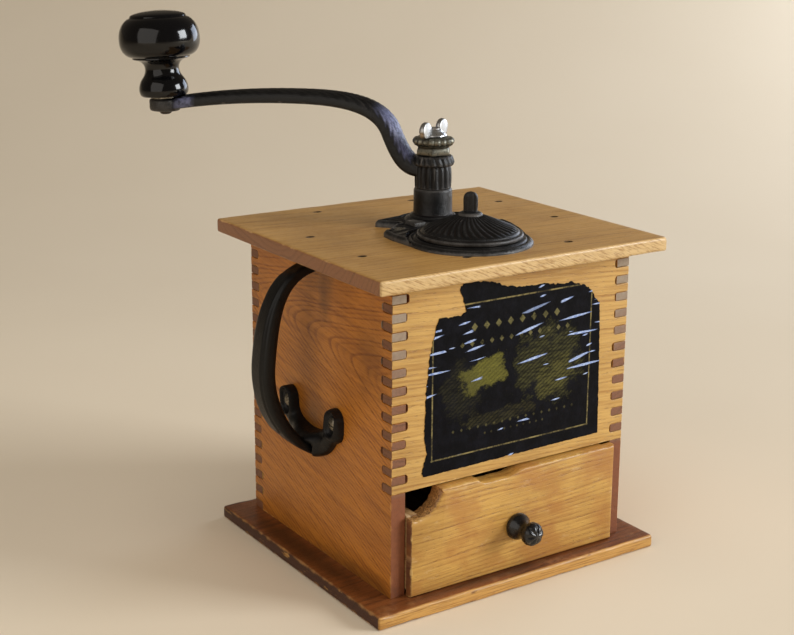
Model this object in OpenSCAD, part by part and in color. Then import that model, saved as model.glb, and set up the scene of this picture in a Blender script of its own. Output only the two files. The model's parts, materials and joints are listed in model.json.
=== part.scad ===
// Box coffee mill: a finger-jointed wooden case with a drawer, an iron hopper top,
// and a crank that turns a cone burr. A crown nut under the wing nut sets the grind.
// Frame: the origin is the centre of the case's footprint, on the table. +Z is up,
// -Y is the front with the label and the drawer, -X is the side with the carry handle.

/* [Case] */
// Width of the case over its side walls
case_w = 152; // [144:1:160]
// Depth of the case over its front and back walls
case_d = 144; // [140:1:150]
// Thickness of the wall boards
wall_t = 8.5; // [8:0.5:10]
// Height of the side walls
wall_h = 163.5; // [160:0.5:166]
// Height of the opening that the drawer fills
opening_h = 56.25; // [52:0.25:58]
// Number of a side wall's fingers down a front corner
side_fingers = 11; // [9:1:13]
// Width of the base board
base_w = 182; // [178:1:190]
// Width of the top board
top_w = 181; // [178:1:190]
// Depth of the base and top boards
board_d = 168; // [164:1:174]
// Thickness of the base board
base_t = 7; // [6:0.5:9]
// Thickness of the top board
top_t = 7.5; // [6.5:0.5:9]

/* [Drawer] */
// Length of the drawer, over its front
drawer_len = 130; // [120:1:132]
// How far the drawer's front stands out of the case at rest
drawer_proud = 5; // [0:0.5:8]
// Thickness of the drawer's sides and back
drawer_side_t = 6; // [5:0.5:7]
// Height of the drawer's sides
drawer_side_h = 40; // [34:1:44]

/* [Hopper top] */
// Distance of the spindle's axis behind the centre of the case
axis_y = 4; // [2:1:6]
// Turn of the hopper top about the spindle's axis
plate_turn = -8.8; // [-9:0.1:0]
// Distance from the spindle's axis to the centre of the fill hole
fill_offset = 44.5; // [43.5:0.5:45]
// Radius of the fill hole
fill_r = 19.5; // [18.5:0.5:19.5]
// Thickness of the hopper top's plate
plate_t = 3; // [2.5:0.5:3.5]
// Radius of the post that carries the crank
post_r = 10.6; // [10:0.1:11.4]
// Height of the post above the top board
post_h = 21; // [19:0.5:22]

/* [Spindle and burrs] */
// Radius of the spindle in its bearings
spindle_r = 5; // [4.5:0.1:5.2]
// Radial clearance of the spindle in its bearings
bearing_gap = 0.05; // [0.03:0.01:0.08]
// Number of teeth inside the outer burr
outer_teeth = 16; // [12:1:18]
// Number of teeth on the cone
cone_teeth = 12; // [8:1:14]

/* [Crank] */
// Direction of the crank at rest, about the spindle's axis from +X
crank_az = 130; // [0:1:359]
// Distance from the spindle's axis to the knob
crank_len = 157; // [150:1:164]
// Largest radius of the knob
knob_r = 22.8; // [21:0.1:24]
// Lean of the knob away from the spindle
knob_lean = 3.5; // [0:0.5:5]

/* [Carry handle] */
// Place of the handle's middle plane along the side
handle_y = 2.4; // [-6:0.2:6]
// Width of the handle's strap
strap_w = 13.3; // [11:0.1:15]
// Thickness of the handle's strap
strap_t = 7; // [5:0.5:7.5]

/* [Hidden] */
$fn = 64;

// Levels above the table
wall_z0 = base_t;
wall_z1 = base_t + wall_h;
top_z = wall_z1 + top_t;
front_z0 = wall_z0 + opening_h;
plate_z = top_z + plate_t;
post_z = top_z + post_h;
// Inner faces of the walls
in_x = case_w / 2 - wall_t;
in_y = case_d / 2 - wall_t;
// The boards stand out a little further to the left and to the front
base_mid = [-1, -2];
// Gap between two bodies that slide or turn on each other
part_gap = 0.3;
// A cut runs past the face by this much
over = 1;

// Fingers: the front panel has the topmost and the lowest one
finger_pitch = (wall_h - opening_h) / (side_fingers + 0.5);
finger_gap = 0.1;
// No finger is made thinner than this
finger_min = 1;

// Nails
nail_r = 0.8;
nail_head_r = 1.35;
nail_len = 26;
nail_set = 0.4;

// Raised seat that the lid's lip drops over
seat_r = 22.5;
seat_h = 0.6;

// Places of the screws in the hopper top, in the plate's own frame
plate_screws_at = [[-26, -13], [26, -13], [0, 17.3]];
screw_r = 1.9;
screw_head_r = 3;

// Hopper
bowl_wall = 2.5;
flange_t = 3;
throat_r = 23.5;
throat_z1 = 118;
throat_z0 = 98;
burr_flange_r = 29;
burr_screw_pcr = 26.2;

// Burrs: the outer burr's cone and the inner cone widen downwards at the same slope
burr_z0 = 92;
burr_z1 = 112;
outer_burr_r = 20.2;
ring_wall_top = 14.4;
ring_wall_bottom = 18.6;
tooth_h = 1.3;
tooth_w = 1.6;
cone_r_top = 10.4;
cone_r_bottom = 15.2;
burr_seat_r = 4;

// Crank
hub_z0 = post_z + part_gap;
hub_ring_z0 = post_z + 12.4;
hub_z1 = post_z + 18;
hub_r = 10.15;
hub_ring_r = 10.9;
drive = 7;
eye_z0 = post_z + 34.7;
eye_z1 = post_z + 41.2;
eye_r = 8.6;
rivet_r = 2.9;
washer_t = 0.7;
// The washer stands this far off the eye, which is level while the knob leans
washer_lift = 0.6;

// Crown nut and wing nut
thread_r = 3.5;
nut_z0 = hub_z1 + part_gap;
nut_z1 = hub_z1 + 10;
wing_z0 = nut_z1 + part_gap;
wing_az = 27.6;
spindle_top = nut_z1 + 4.6;
// How far the spindle lifts when the crown nut makes one turn
thread_pitch = 1.3;

// Drawer
drawer_gap = 0.4;
drawer_z0 = wall_z0 + part_gap;
drawer_z1 = front_z0 - 0.65;
drawer_y0 = -case_d / 2 - drawer_proud;
drawer_y1 = drawer_y0 + drawer_len;
drawer_x = in_x - drawer_gap;
drawer_side_x = in_x - drawer_gap - part_gap;
drawer_in_x = drawer_side_x - drawer_side_t;
drawer_lap = 4.5;
drawer_floor_t = 3;
drawer_knob_z = 31;
bite_x = -48.5;
bite_z = 49.6;

// A cubic curve as a list of n + 1 points
function curve_at(p, t) =
    pow(1 - t, 3) * p[0] + 3 * t * pow(1 - t, 2) * p[1]
    + 3 * t * t * (1 - t) * p[2] + pow(t, 3) * p[3];
function curve(p, n = 10) = [for (i = [0:n]) curve_at(p, i / n)];

// Both edges of a band along a line of points, whose thickness goes from t0 to t1
function along(p, i) =
    let (q = p[min(i + 1, len(p) - 1)] - p[max(i - 1, 0)]) q / norm(q);
function edge_point(p, i, off) =
    p[i] + off * [-along(p, i)[1], along(p, i)[0]];
function band(p, t0, t1) =
    let (n = len(p) - 1, half = [for (i = [0:n]) (t0 + (t1 - t0) * i / n) / 2])
    concat(
        [for (i = [0:n]) edge_point(p, i, half[i])],
        [for (i = [n:-1:0]) edge_point(p, i, -half[i])]
    );

// Two discs and the outline that wraps them, from [0, 0] to [0, -d]
module egg(r1, r2, d) {
    a = asin((r2 - r1) / d);
    circle(r1);
    translate([0, -d]) circle(r2);
    polygon([
        r1 * [cos(a), sin(a)],
        r1 * [-cos(a), sin(a)],
        [0, -d] + r2 * [-cos(a), sin(a)],
        [0, -d] + r2 * [cos(a), sin(a)]
    ]);
}

// A straight bar with round ends of two sizes, in the plane
module taper_bar(a, ra, b, rb) {
    d = b - a;
    translate(a)
        rotate(atan2(d[1], d[0]) + 90)
            egg(ra, rb, norm(d));
}

// Places its children in the plate's frame, with the spindle's axis at the origin
module on_axis() {
    translate([0, axis_y, 0]) rotate(plate_turn) children();
}

module board(x0, x1, y0, y1, z0, z1) {
    translate([x0, y0, z0]) cube([x1 - x0, y1 - y0, z1 - z0]);
}

// Slots in the end of a board for the fingers of its neighbour, from z_top down.
// first = 0 cuts the topmost slot, first = 1 starts one finger lower.
module finger_slots(x0, x1, y0, y1, z_top, z_bottom, first) {
    half = finger_pitch / 2;
    count = ceil((z_top - z_bottom) / finger_pitch);
    for (i = [0:count - 1]) {
        hi = z_top - i * finger_pitch - first * half;
        lo = hi - half < z_bottom + finger_min ? z_bottom : hi - half;
        if (hi > z_bottom + finger_min)
            board(x0, x1, y0, y1, lo - finger_gap / 2, hi + finger_gap / 2 + (i + first == 0 ? over : 0));
    }
}

module base_board() {
    color("saddlebrown")
        translate([base_mid[0] - base_w / 2, base_mid[1] - board_d / 2, 0])
            cube([base_w, board_d, base_t]);
}

// A side wall, drawn on the left
module side_wall() {
    difference() {
        board(-case_w / 2, -in_x, -case_d / 2, case_d / 2, wall_z0, wall_z1);
        finger_slots(-case_w / 2 - over, -in_x + over, -case_d / 2 - over, -in_y + finger_gap,
            wall_z1, front_z0, 0);
        finger_slots(-case_w / 2 - over, -in_x + over, in_y - finger_gap, case_d / 2 + over,
            wall_z1, wall_z0, 0);
    }
}

module left_side() {
    color("peru")
        difference() {
            side_wall();
            translate([-case_w / 2 - over, handle_y, handle_top_z])
                rotate([0, 90, 0]) cylinder(r = tenon_r + bearing_gap, h = wall_t + 2 * over);
        }
}

module right_side() {
    color("peru") mirror([1, 0, 0]) side_wall();
}

// A front or back wall, drawn at the front, down to z_bottom
module end_wall(z_bottom) {
    difference() {
        board(-case_w / 2, case_w / 2, -case_d / 2, -in_y, z_bottom, wall_z1);
        for (s = [-1, 1])
            finger_slots(s * case_w / 2 - (s < 0 ? over : wall_t), s * case_w / 2 + (s < 0 ? wall_t : over),
                -case_d / 2 - over, -in_y + over, wall_z1, z_bottom, 1);
    }
}

module front_panel() {
    color("burlywood") end_wall(front_z0);
}

module back_panel() {
    color("burlywood") mirror([0, 1, 0]) end_wall(wall_z0);
}

module top_board() {
    color("burlywood")
        difference() {
            translate([base_mid[0] - top_w / 2, base_mid[1] - board_d / 2, wall_z1])
                cube([top_w, board_d, top_t]);
            on_axis()
                translate([0, 0, wall_z1 - over])
                    linear_extrude(top_t + 2 * over)
                        egg(13, fill_r + 1, fill_offset);
        }
}

// A nail driven down from z, with its head a little below the surface
module nail(z) {
    translate([0, 0, z - nail_set - 1.4]) cylinder(r = nail_head_r, h = 1.4);
    translate([0, 0, z - nail_set - nail_len]) cylinder(r = nail_r, h = nail_len);
}

module top_nails() {
    mid_x = (case_w - wall_t) / 2;
    front_y = -66.5;
    back_y = 67.5;
    color("dimgray")
        for (p = [
            [-mid_x, 14], [-mid_x, -37.5], [mid_x, 38], [mid_x, -13.5],
            [-28, front_y], [37.5, front_y], [-35.5, back_y], [29, back_y]
        ])
            translate([p[0], p[1], 0]) nail(top_z);
}

module base_nails() {
    mid_x = (case_w - wall_t) / 2;
    mid_y = (case_d - wall_t) / 2;
    color("dimgray")
        for (p = [
            [-mid_x, -50], [-mid_x, 0], [-mid_x, 50],
            [mid_x, -50], [mid_x, 0], [mid_x, 50], [-30, mid_y], [30, mid_y]
        ])
            translate([p[0], p[1], 0]) mirror([0, 0, 1]) nail(0);
}

// A thin torn sheet on the front
module label() {
    color("black")
        translate([0, -case_d / 2, 0])
            rotate([90, 0, 0])
                linear_extrude(0.4)
                    polygon([
                        [-57, 69], [58, 70], [57.3, 100], [56.4, 131], [55.7, 144], [52, 147.5],
                        [50, 151.5], [45, 154.5], [36, 158], [31, 157.5], [17.5, 159.3], [1.3, 160],
                        [-8.3, 161.8], [-11.6, 163.8], [-21, 166], [-33, 166.6], [-35.8, 165.5],
                        [-35.7, 162.5], [-33.8, 158.2], [-31.8, 151.8], [-35, 150.2], [-48.2, 150.6],
                        [-50.5, 145.3], [-53.9, 130.5], [-55.5, 114], [-56.6, 90], [-55, 81], [-58, 71.3]
                    ]);
}

// Outline of the hopper top: a round front, a back lobe and two fishtail wings
module plate_outline() {
    circle(21);
    translate([0, -fill_offset]) circle(33);
    for (s = [0, 1])
        mirror([s, 0]) {
            taper_bar([-8, 5], 12, [-28.2, 8], 2.2);
            taper_bar([-20, -26], 13, [-34.2, -16.5], 2.2);
            polygon([[0, 0], [-24, -3], [-34, -14.5], [-36.4, -17], [-36.3, -26], [-33, -44.5], [0, -44.5]]);
        }
}

module hopper_top() {
    color("dimgray")
        on_axis()
            difference() {
                union() {
                    translate([0, 0, top_z]) linear_extrude(plate_t) plate_outline();
                    // Raised seat round the fill hole
                    translate([0, -fill_offset, plate_z - over]) cylinder(r = seat_r, h = over + seat_h);
                    // Foot, post and the boss below the plate
                    translate([0, 0, plate_z]) cylinder(r1 = 15.5, r2 = 13, h = 2);
                    translate([0, 0, plate_z + 2]) cylinder(r1 = 12.6, r2 = post_r, h = 1.6);
                    translate([0, 0, wall_z1 - 4]) cylinder(r = 11.5, h = 8 + top_t);
                    translate([0, 0, top_z]) cylinder(r = post_r, h = post_h);
                    // Square lug at the side of the foot
                    rotate(-plate_turn) translate([-18.6, -10.2, plate_z]) cube([7, 9.6, 2.2]);
                }
                translate([0, 0, wall_z1 - 4 - over])
                    cylinder(r = spindle_r + bearing_gap, h = post_h + top_t + 6);
                translate([0, -fill_offset, top_z - over]) cylinder(r = fill_r, h = plate_t + 3);
                for (p = plate_screws_at)
                    translate([p[0], p[1], top_z - over]) {
                        cylinder(r = screw_r + 0.2, h = plate_t + 2 * over);
                        translate([0, 0, over + plate_t - 1.6]) cylinder(r = screw_head_r + 0.1, h = 3);
                    }
            }
}

// A slotted screw whose flat head is flush with z, drawn downwards
module flush_screw(len, head_r = screw_head_r, r = screw_r) {
    difference() {
        union() {
            translate([0, 0, -1.5]) cylinder(r = head_r, h = 1.5);
            translate([0, 0, -len]) cylinder(r = r, h = len);
        }
        translate([-head_r - over, -0.4, -0.7]) cube([2 * head_r + 2 * over, 0.8, 2]);
    }
}

module plate_screws() {
    color("dimgray")
        on_axis()
            for (p = plate_screws_at)
                translate([p[0], p[1], plate_z]) rotate(25) flush_screw(plate_t + top_t + 5);
}

// The bowl's space: an egg under the top board that narrows to the round throat
module bowl_space(grow) {
    hull() {
        translate([0, 0, wall_z1 - flange_t])
            linear_extrude(flange_t)
                egg(13.5 + grow, fill_r - 0.5 + grow, fill_offset, $fn = 48);
        translate([0, 0, throat_z1]) cylinder(r = throat_r - 3 + grow, h = 1, $fn = 48);
    }
}

module hopper() {
    color("slategray")
        on_axis() {
            difference() {
                union() {
                    bowl_space(bowl_wall);
                    translate([0, 0, throat_z0]) cylinder(r = throat_r, h = throat_z1 - throat_z0 + 1);
                    translate([0, 0, throat_z0]) cylinder(r = burr_flange_r, h = flange_t);
                    // Ears for the screws that come down through the top board
                    for (p = plate_screws_at) {
                        translate([p[0], p[1], wall_z1 - 6]) cylinder(r = 5, h = 6);
                        translate([0, 0, wall_z1 - flange_t])
                            linear_extrude(flange_t) taper_bar(p * 0.45, 5, p, 4.5);
                    }
                }
                translate([0, 0, 0.5]) bowl_space(0);
                translate([0, 0, throat_z0 - over])
                    cylinder(r = outer_burr_r + 0.1, h = throat_z1 - throat_z0 + 2);
                for (p = plate_screws_at)
                    translate([p[0], p[1], wall_z1 - 6 - over]) cylinder(r = screw_r + 0.02, h = 8);
                for (i = [0:2])
                    rotate(90 + i * 120)
                        translate([burr_screw_pcr, 0, throat_z0 - over]) cylinder(r = 1.5, h = 6);
            }
            bearing_bridge();
        }
}

// Two arms across the throat and the lower bearing between them
module bearing_bridge() {
    bridge_h = 7;
    difference() {
        union() {
            translate([0, 0, throat_z1 - 1]) cylinder(r = 8.5, h = bridge_h);
            translate([-throat_r + 1.5, -2.5, throat_z1 - 1]) cube([2 * throat_r - 3, 5, bridge_h]);
        }
        translate([0, 0, throat_z1 - 2]) cylinder(r = spindle_r + bearing_gap, h = bridge_h + 2);
    }
}

// A straight tooth along a cone, in the half plane at +X
module tooth(r_top, r_bottom, depth) {
    rotate([90, 0, 0])
        translate([0, 0, -tooth_w / 2])
            linear_extrude(tooth_w)
                polygon([
                    [r_top, burr_z1], [r_top + depth, burr_z1],
                    [r_bottom + depth, burr_z0], [r_bottom, burr_z0]
                ]);
}

module outer_burr() {
    color("slategray")
        on_axis() {
            difference() {
                union() {
                    translate([0, 0, burr_z0]) cylinder(r = outer_burr_r, h = burr_z1 - burr_z0);
                    translate([0, 0, throat_z0 - 3]) cylinder(r = burr_flange_r, h = 3);
                }
                translate([0, 0, burr_z0 - 0.01])
                    cylinder(r1 = ring_wall_bottom, r2 = ring_wall_top, h = burr_z1 - burr_z0 + 0.02);
                for (i = [0:2])
                    rotate(90 + i * 120)
                        translate([burr_screw_pcr, 0, throat_z0 - 4]) cylinder(r = 1.6, h = 6);
            }
            for (i = [0:outer_teeth - 1])
                rotate(i * 360 / outer_teeth) tooth(ring_wall_top - tooth_h, ring_wall_bottom - tooth_h, 2);
        }
}

module burr_screws() {
    color("gray")
        on_axis()
            for (i = [0:2])
                rotate(90 + i * 120)
                    translate([burr_screw_pcr, 0, throat_z0 - 3]) {
                        translate([0, 0, -1.8]) cylinder(r = 2.6, h = 1.8);
                        cylinder(r = 1.48, h = 5.8);
                    }
}

module inner_burr() {
    color("slategray")
        on_axis() {
            difference() {
                translate([0, 0, burr_z0])
                    cylinder(r1 = cone_r_bottom, r2 = cone_r_top, h = burr_z1 - burr_z0);
                translate([0, 0, burr_z0 - over]) cylinder(r = burr_seat_r + 0.02, h = 24);
            }
            for (i = [0:cone_teeth - 1])
                rotate(i * 360 / cone_teeth + 11) tooth(cone_r_top - 1, cone_r_bottom - 1, tooth_h + 1);
        }
}

module burr_nut() {
    color("gray")
        on_axis()
            difference() {
                translate([0, 0, burr_z0 - 5]) cylinder(r = 7.5, h = 5, $fn = 6);
                translate([0, 0, burr_z0 - 6]) cylinder(r = burr_seat_r + 0.02, h = 7);
            }
}

module spindle() {
    round_z1 = post_z - thread_pitch - 0.7;
    square_z1 = hub_z1 - thread_pitch - part_gap;
    color("silver")
        on_axis() {
            translate([0, 0, burr_z0 - 7.5]) cylinder(r = burr_seat_r, h = burr_z1 - burr_z0 + 8);
            translate([0, 0, burr_z1]) cylinder(r = 6.5, h = 3);
            translate([0, 0, burr_z1]) cylinder(r = spindle_r, h = round_z1 - burr_z1);
            // Square that drives the crank's hub; it slides up in the hub, still below the crown nut
            rotate(crank_az - plate_turn)
                translate([-drive / 2, -drive / 2, round_z1 - over])
                    cube([drive, drive, square_z1 - round_z1 + over]);
            translate([0, 0, square_z1 - over]) cylinder(r = thread_r, h = spindle_top - square_z1 + over);
        }
}

module lid() {
    rim_r = 27.8;
    lip = seat_h;
    dome = curve([[rim_r - 1.6, 2.6], [18, 5.6], [10, 9.8], [0, 11.6]], 12);
    hollow = curve([[0, 8.2], [10, 6.6], [17, 3.2], [seat_r + 0.5, 0.6]], 8);
    color("dimgray")
        on_axis()
            translate([0, -fill_offset, plate_z + seat_h + part_gap]) {
                rotate_extrude()
                    polygon(concat(
                        [[seat_r + 0.5, -lip], [rim_r, -lip], [rim_r, 1.9], [rim_r - 0.8, 2.6]],
                        dome, hollow
                    ));
                // Upright finger tab
                rotate(-32) tab();
            }
}

// The lid's grip: a flat upright tab with a round top
module tab() {
    tab_w = 7.6;
    tab_t = 4.4;
    translate([0, tab_t / 2, 10])
        rotate([90, 0, 0])
            linear_extrude(tab_t) {
                translate([-tab_w / 2, 0]) square([tab_w, 9.2]);
                translate([0, 9.2]) circle(tab_w / 2);
            }
}

// The line of the arm above the post, out of the hub, up beside the nuts and over to the knob
arm_line = concat(
    curve([[7, 8.5], [16, 9.5], [18.5, 18], [23.3, 29.5]], 10),
    [for (i = [1:10]) curve_at([[23.3, 29.5], [28.8, 42.5], [45, 46.4], [70, 46.4]], i / 10)],
    [for (i = [1:8]) curve_at([[70, 46.4], [100, 46.4], [130, 43.4], [crank_len, 38]], i / 8)]
);

module crank() {
    color("dimgray")
        translate([0, axis_y, 0])
            rotate(crank_az)
                difference() {
                    union() {
                        translate([0, 0, hub_z0]) cylinder(r = hub_r, h = hub_ring_z0 - hub_z0 + 1);
                        translate([0, 0, hub_ring_z0]) cylinder(r = hub_ring_r, h = hub_z1 - hub_ring_z0);
                        intersection() {
                            translate([0, 10, post_z])
                                rotate([90, 0, 0]) linear_extrude(20) polygon(band(arm_line, 10.5, 7));
                            translate([0, 0, post_z - 9])
                                linear_extrude(70)
                                    polygon([
                                        [5, -8.4], [24, -8.4], [crank_len, -5.4],
                                        [crank_len, 5.4], [24, 8.4], [5, 8.4]
                                    ]);
                        }
                        translate([crank_len, 0, eye_z0]) cylinder(r = eye_r, h = eye_z1 - eye_z0);
                    }
                    translate([-drive / 2 - 0.1, -drive / 2 - 0.1, hub_z0 - over])
                        cube([drive + 0.2, drive + 0.2, hub_z1 - hub_z0 + 2 * over]);
                    // Room for the knob's foot and washer on the eye
                    translate([crank_len, 0, eye_z1]) cylinder(r = 15.5, h = 20);
                    at_knob() cylinder(r = rivet_r + 0.02, h = 40, center = true);
                }
}

// Places its children at the top of the arm's eye, along the leaning rivet
module at_knob() {
    translate([crank_len, 0, eye_z1]) rotate([0, knob_lean, 0]) children();
}

module on_arm() {
    translate([0, axis_y, 0]) rotate(crank_az) at_knob() children();
}

module knob_rivet() {
    color("dimgray")
        on_arm() {
            translate([0, 0, -8]) cylinder(r = rivet_r, h = 8 + 38);
            translate([0, 0, -8.6]) cylinder(r = 3.3, h = 1.2);
            translate([0, 0, 38]) cylinder(r = 5, h = 2);
        }
}

module knob_washer() {
    color("gray")
        on_arm()
            translate([0, 0, washer_lift])
                difference() {
                    cylinder(r = 7.5, h = washer_t);
                    translate([0, 0, -over]) cylinder(r = rivet_r + 0.02, h = 3);
                }
}

// Half profile of the turned knob, from its foot up
knob_profile = concat(
    [[rivet_r + bearing_gap, 0]],
    curve([[11.6, 0], [14.6, 1.2], [14.6, 6.4], [11.6, 10.2]], 8),
    curve([[11.3, 10.6], [9.1, 13.6], [8.6, 18.6], [13, 20.6]], 8),
    curve([[16, 21.2], [20.2, 22.8], [knob_r, 27.4], [knob_r, 32.6]], 8),
    curve([[knob_r, 33.4], [knob_r, 38.6], [20.6, 42.2], [15.6, 44.3]], 8),
    curve([[15.1, 44.9], [12, 46.6], [6, 47.4], [5, 47.4]], 6)
);

module crank_knob() {
    color("black")
        on_arm()
            translate([0, 0, washer_lift + washer_t + part_gap])
                difference() {
                    union() {
                        rotate_extrude() polygon(concat(knob_profile, [[rivet_r + bearing_gap, 47.4]]));
                        // Turned plug that hides the rivet's head
                        translate([0, 0, 42]) cylinder(r = 5.5, h = 5.6);
                    }
                    translate([0, 0, 35.8]) cylinder(r = 5.2, h = 3.4);
                }
}

module adjusting_nut() {
    color("gray")
        on_axis()
            difference() {
                union() {
                    translate([0, 0, nut_z0]) cylinder(r = 10, h = 3.6, $fn = 6);
                    translate([0, 0, nut_z0 + 3]) cylinder(r1 = 8.6, r2 = 10.2, h = 2.6);
                    translate([0, 0, nut_z1 - 2.4])
                        rotate_extrude() translate([9.2, 0]) circle(2.1);
                    translate([0, 0, nut_z1 - 4.5]) cylinder(r = 9.4, h = 4.5);
                }
                translate([0, 0, nut_z0 - over]) cylinder(r = thread_r + bearing_gap, h = 12);
            }
}

module wing_nut() {
    lobe_out = 9.4;
    color("silver")
        translate([0, axis_y, 0])
            rotate(wing_az)
                difference() {
                    union() {
                        translate([0, 0, wing_z0]) cylinder(r1 = 7.2, r2 = 4.2, h = 3.6);
                        for (s = [-1, 1])
                            translate([s * lobe_out, 1.1, wing_z0 + 3.3])
                                rotate([90, 0, 0]) linear_extrude(2.2) circle(4.6);
                        translate([-lobe_out, -1.1, wing_z0]) cube([2 * lobe_out, 2.2, 2.2]);
                    }
                    translate([0, 0, wing_z0 - over]) cylinder(r = thread_r + 0.02, h = 8);
                    // The lobes stop above the crown nut
                    translate([-20, -20, wing_z0 - 10]) cube([40, 40, 10]);
                }
}

// Line of the strap in the plane across the side, from its top end to its foot
tenon_r = 2.6;
handle_top_z = 166.4;
strap_top = curve([[-76, handle_top_z], [-96, 163.5], [-104, 149], [-106.6, 116]], 12);
strap_foot = [for (i = [1:12]) curve_at([[-106.6, 116], [-108, 94], [-96, 74], [-77.5, 64.5]], i / 12)];
lug_y = 23.3;
lug_z = 86;
foot_t = 3;

module carry_handle() {
    color("dimgray")
        translate([0, handle_y, 0])
            difference() {
                union() {
                    intersection() {
                        rotate([90, 0, 0])
                            translate([0, 0, -strap_w / 2])
                                linear_extrude(strap_w)
                                    polygon(band(concat(strap_top, strap_foot), strap_t, strap_t));
                        translate([-case_w / 2 - 60, -20, 40]) cube([60, 40, wall_z1 - 40.3]);
                    }
                    translate([-case_w / 2 - 1.5, 0, handle_top_z])
                        rotate([0, 90, 0]) cylinder(r = tenon_r, h = wall_t + 1);
                    translate([-case_w / 2, 0, 0]) rotate([90, 0, -90]) linear_extrude(foot_t) foot_outline();
                }
                for (s = [-1, 1])
                    translate([-case_w / 2 - foot_t - over, s * lug_y, lug_z])
                        rotate([0, 90, 0]) cylinder(r = screw_r + 0.2, h = foot_t + 2 * over);
            }
}

// The foot lies on the side: an anchor with a screw lug at the end of each arm
foot_half = concat(
    curve([[0, 61.6], [10, 61.8], [17, 66.5], [22.5, 74]], 6),
    curve([[24.5, 75.2], [29.4, 77], [29.8, 80], [29.8, 86]], 4),
    curve([[29.8, 87.5], [29.4, 96.4], [17.2, 96.4], [16.8, 87.5]], 8),
    curve([[16.8, 85.5], [16.6, 80], [10, 77.2], [0, 76.8]], 6)
);

module foot_outline() {
    last = len(foot_half) - 2;
    polygon(concat(foot_half, [for (i = [last:-1:1]) [-foot_half[i][0], foot_half[i][1]]]));
}

module handle_screws() {
    color("gray")
        for (s = [-1, 1])
            translate([-case_w / 2 - foot_t, handle_y + s * lug_y, lug_z])
                rotate([0, -90, 0])
                    difference() {
                        union() {
                            intersection() {
                                translate([0, 0, -3.2]) sphere(r = 5);
                                cylinder(r = 3.6, h = 3);
                            }
                            translate([0, 0, -11]) cylinder(r = screw_r, h = 11.5);
                        }
                        rotate(s * 20 + 90) translate([-5, -0.45, 1]) cube([10, 0.9, 2]);
                    }
}

module drawer_front() {
    color("burlywood")
        difference() {
            union() {
                board(-drawer_x, drawer_x, drawer_y0, drawer_y0 + drawer_lap, drawer_z0, drawer_z1);
                board(-drawer_in_x, drawer_in_x, drawer_y0 + drawer_lap, drawer_y0 + wall_t, drawer_z0, drawer_z1);
            }
            // The gnawed top corner, right through the board
            translate([0, drawer_y0 + wall_t + over, 0])
                rotate([90, 0, 0])
                    linear_extrude(wall_t + 2 * over)
                        polygon(concat(
                            [[-drawer_x - over, drawer_z1 + over], [-drawer_x - over, bite_z]],
                            curve([
                                [-drawer_x, bite_z], [-drawer_x + 9, bite_z - 0.6],
                                [bite_x - 1.2, bite_z + 3], [bite_x, drawer_z1 + over]
                            ], 8)
                        ));
            translate([0, drawer_y0 - over, drawer_knob_z])
                rotate([-90, 0, 0]) cylinder(r = 2.2, h = wall_t + 2 * over);
        }
}

// A side of the drawer, drawn on the left
module drawer_side() {
    board(-drawer_side_x, -drawer_in_x, drawer_y0 + drawer_lap, drawer_y1,
        drawer_z0 + drawer_floor_t, drawer_z0 + drawer_floor_t + drawer_side_h);
}

module drawer_left() {
    color("tan") drawer_side();
}

module drawer_right() {
    color("tan") mirror([1, 0, 0]) drawer_side();
}

module drawer_back() {
    color("tan")
        board(-drawer_in_x, drawer_in_x, drawer_y1 - drawer_side_t, drawer_y1,
            drawer_z0 + drawer_floor_t, drawer_z0 + drawer_floor_t + drawer_side_h - 4);
}

module drawer_bottom() {
    color("tan")
        board(-drawer_side_x, drawer_side_x, drawer_y0 + wall_t, drawer_y1,
            drawer_z0, drawer_z0 + drawer_floor_t);
}

module drawer_nails() {
    lap_y = (drawer_lap + wall_t) / 2 + drawer_y0;
    color("dimgray") {
        for (s = [-1, 1], z = [20, 40])
            translate([s * (drawer_side_x - 18), lap_y, z])
                rotate([0, s * 90, 0]) cylinder(r = nail_r, h = 17.9);
        for (s = [-1, 1], y = [-40, 20])
            translate([s * (drawer_side_x - drawer_side_t / 2), y, drawer_z0 + 0.2])
                cylinder(r = nail_r, h = 16);
    }
}

module drawer_knob() {
    color("dimgray")
        translate([0, drawer_y0, drawer_knob_z])
            rotate([90, 0, 0])
                difference() {
                    rotate_extrude()
                        polygon(concat(
                            [[0, 0], [7.3, 0]],
                            curve([[7.4, 0.6], [7.4, 3.6], [6, 4.6], [4.8, 6.4]], 5),
                            curve([[4.3, 7.2], [4, 9], [4.4, 10], [5.8, 10.8]], 5),
                            curve([[6.3, 11.4], [6.6, 13.6], [5.6, 17], [0, 17.6]], 7)
                        ));
                    translate([0, 0, -over]) cylinder(r = 2.02, h = 11);
                }
}

module drawer_knob_screw() {
    color("gray")
        translate([0, drawer_y0, drawer_knob_z])
            rotate([90, 0, 0]) {
                translate([0, 0, -wall_t - 2]) cylinder(r = 4, h = 2);
                translate([0, 0, -wall_t - 1]) cylinder(r = 2, h = wall_t + 10.5);
            }
}

base_board();
left_side();
right_side();
front_panel();
back_panel();
top_board();
top_nails();
base_nails();
label();
hopper_top();
plate_screws();
hopper();
outer_burr();
burr_screws();
lid();
spindle();
inner_burr();
burr_nut();
wing_nut();
adjusting_nut();
crank();
knob_rivet();
knob_washer();
crank_knob();
carry_handle();
handle_screws();
drawer_front();
drawer_left();
drawer_right();
drawer_back();
drawer_bottom();
drawer_nails();
drawer_knob();
drawer_knob_screw();
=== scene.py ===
"""Looks of the box coffee mill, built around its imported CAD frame.

Shapes are written in millimetres in the CAD's frame: +Z up, -Y the front, -X the side with the
carry handle. shells_mesh() turns them into metres.
"""

import json
import math
import random
from functools import partialmethod

import bpy
import numpy as np
from mathutils import Matrix, Vector, noise
from mathutils.geometry import delaunay_2d_cdt

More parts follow.
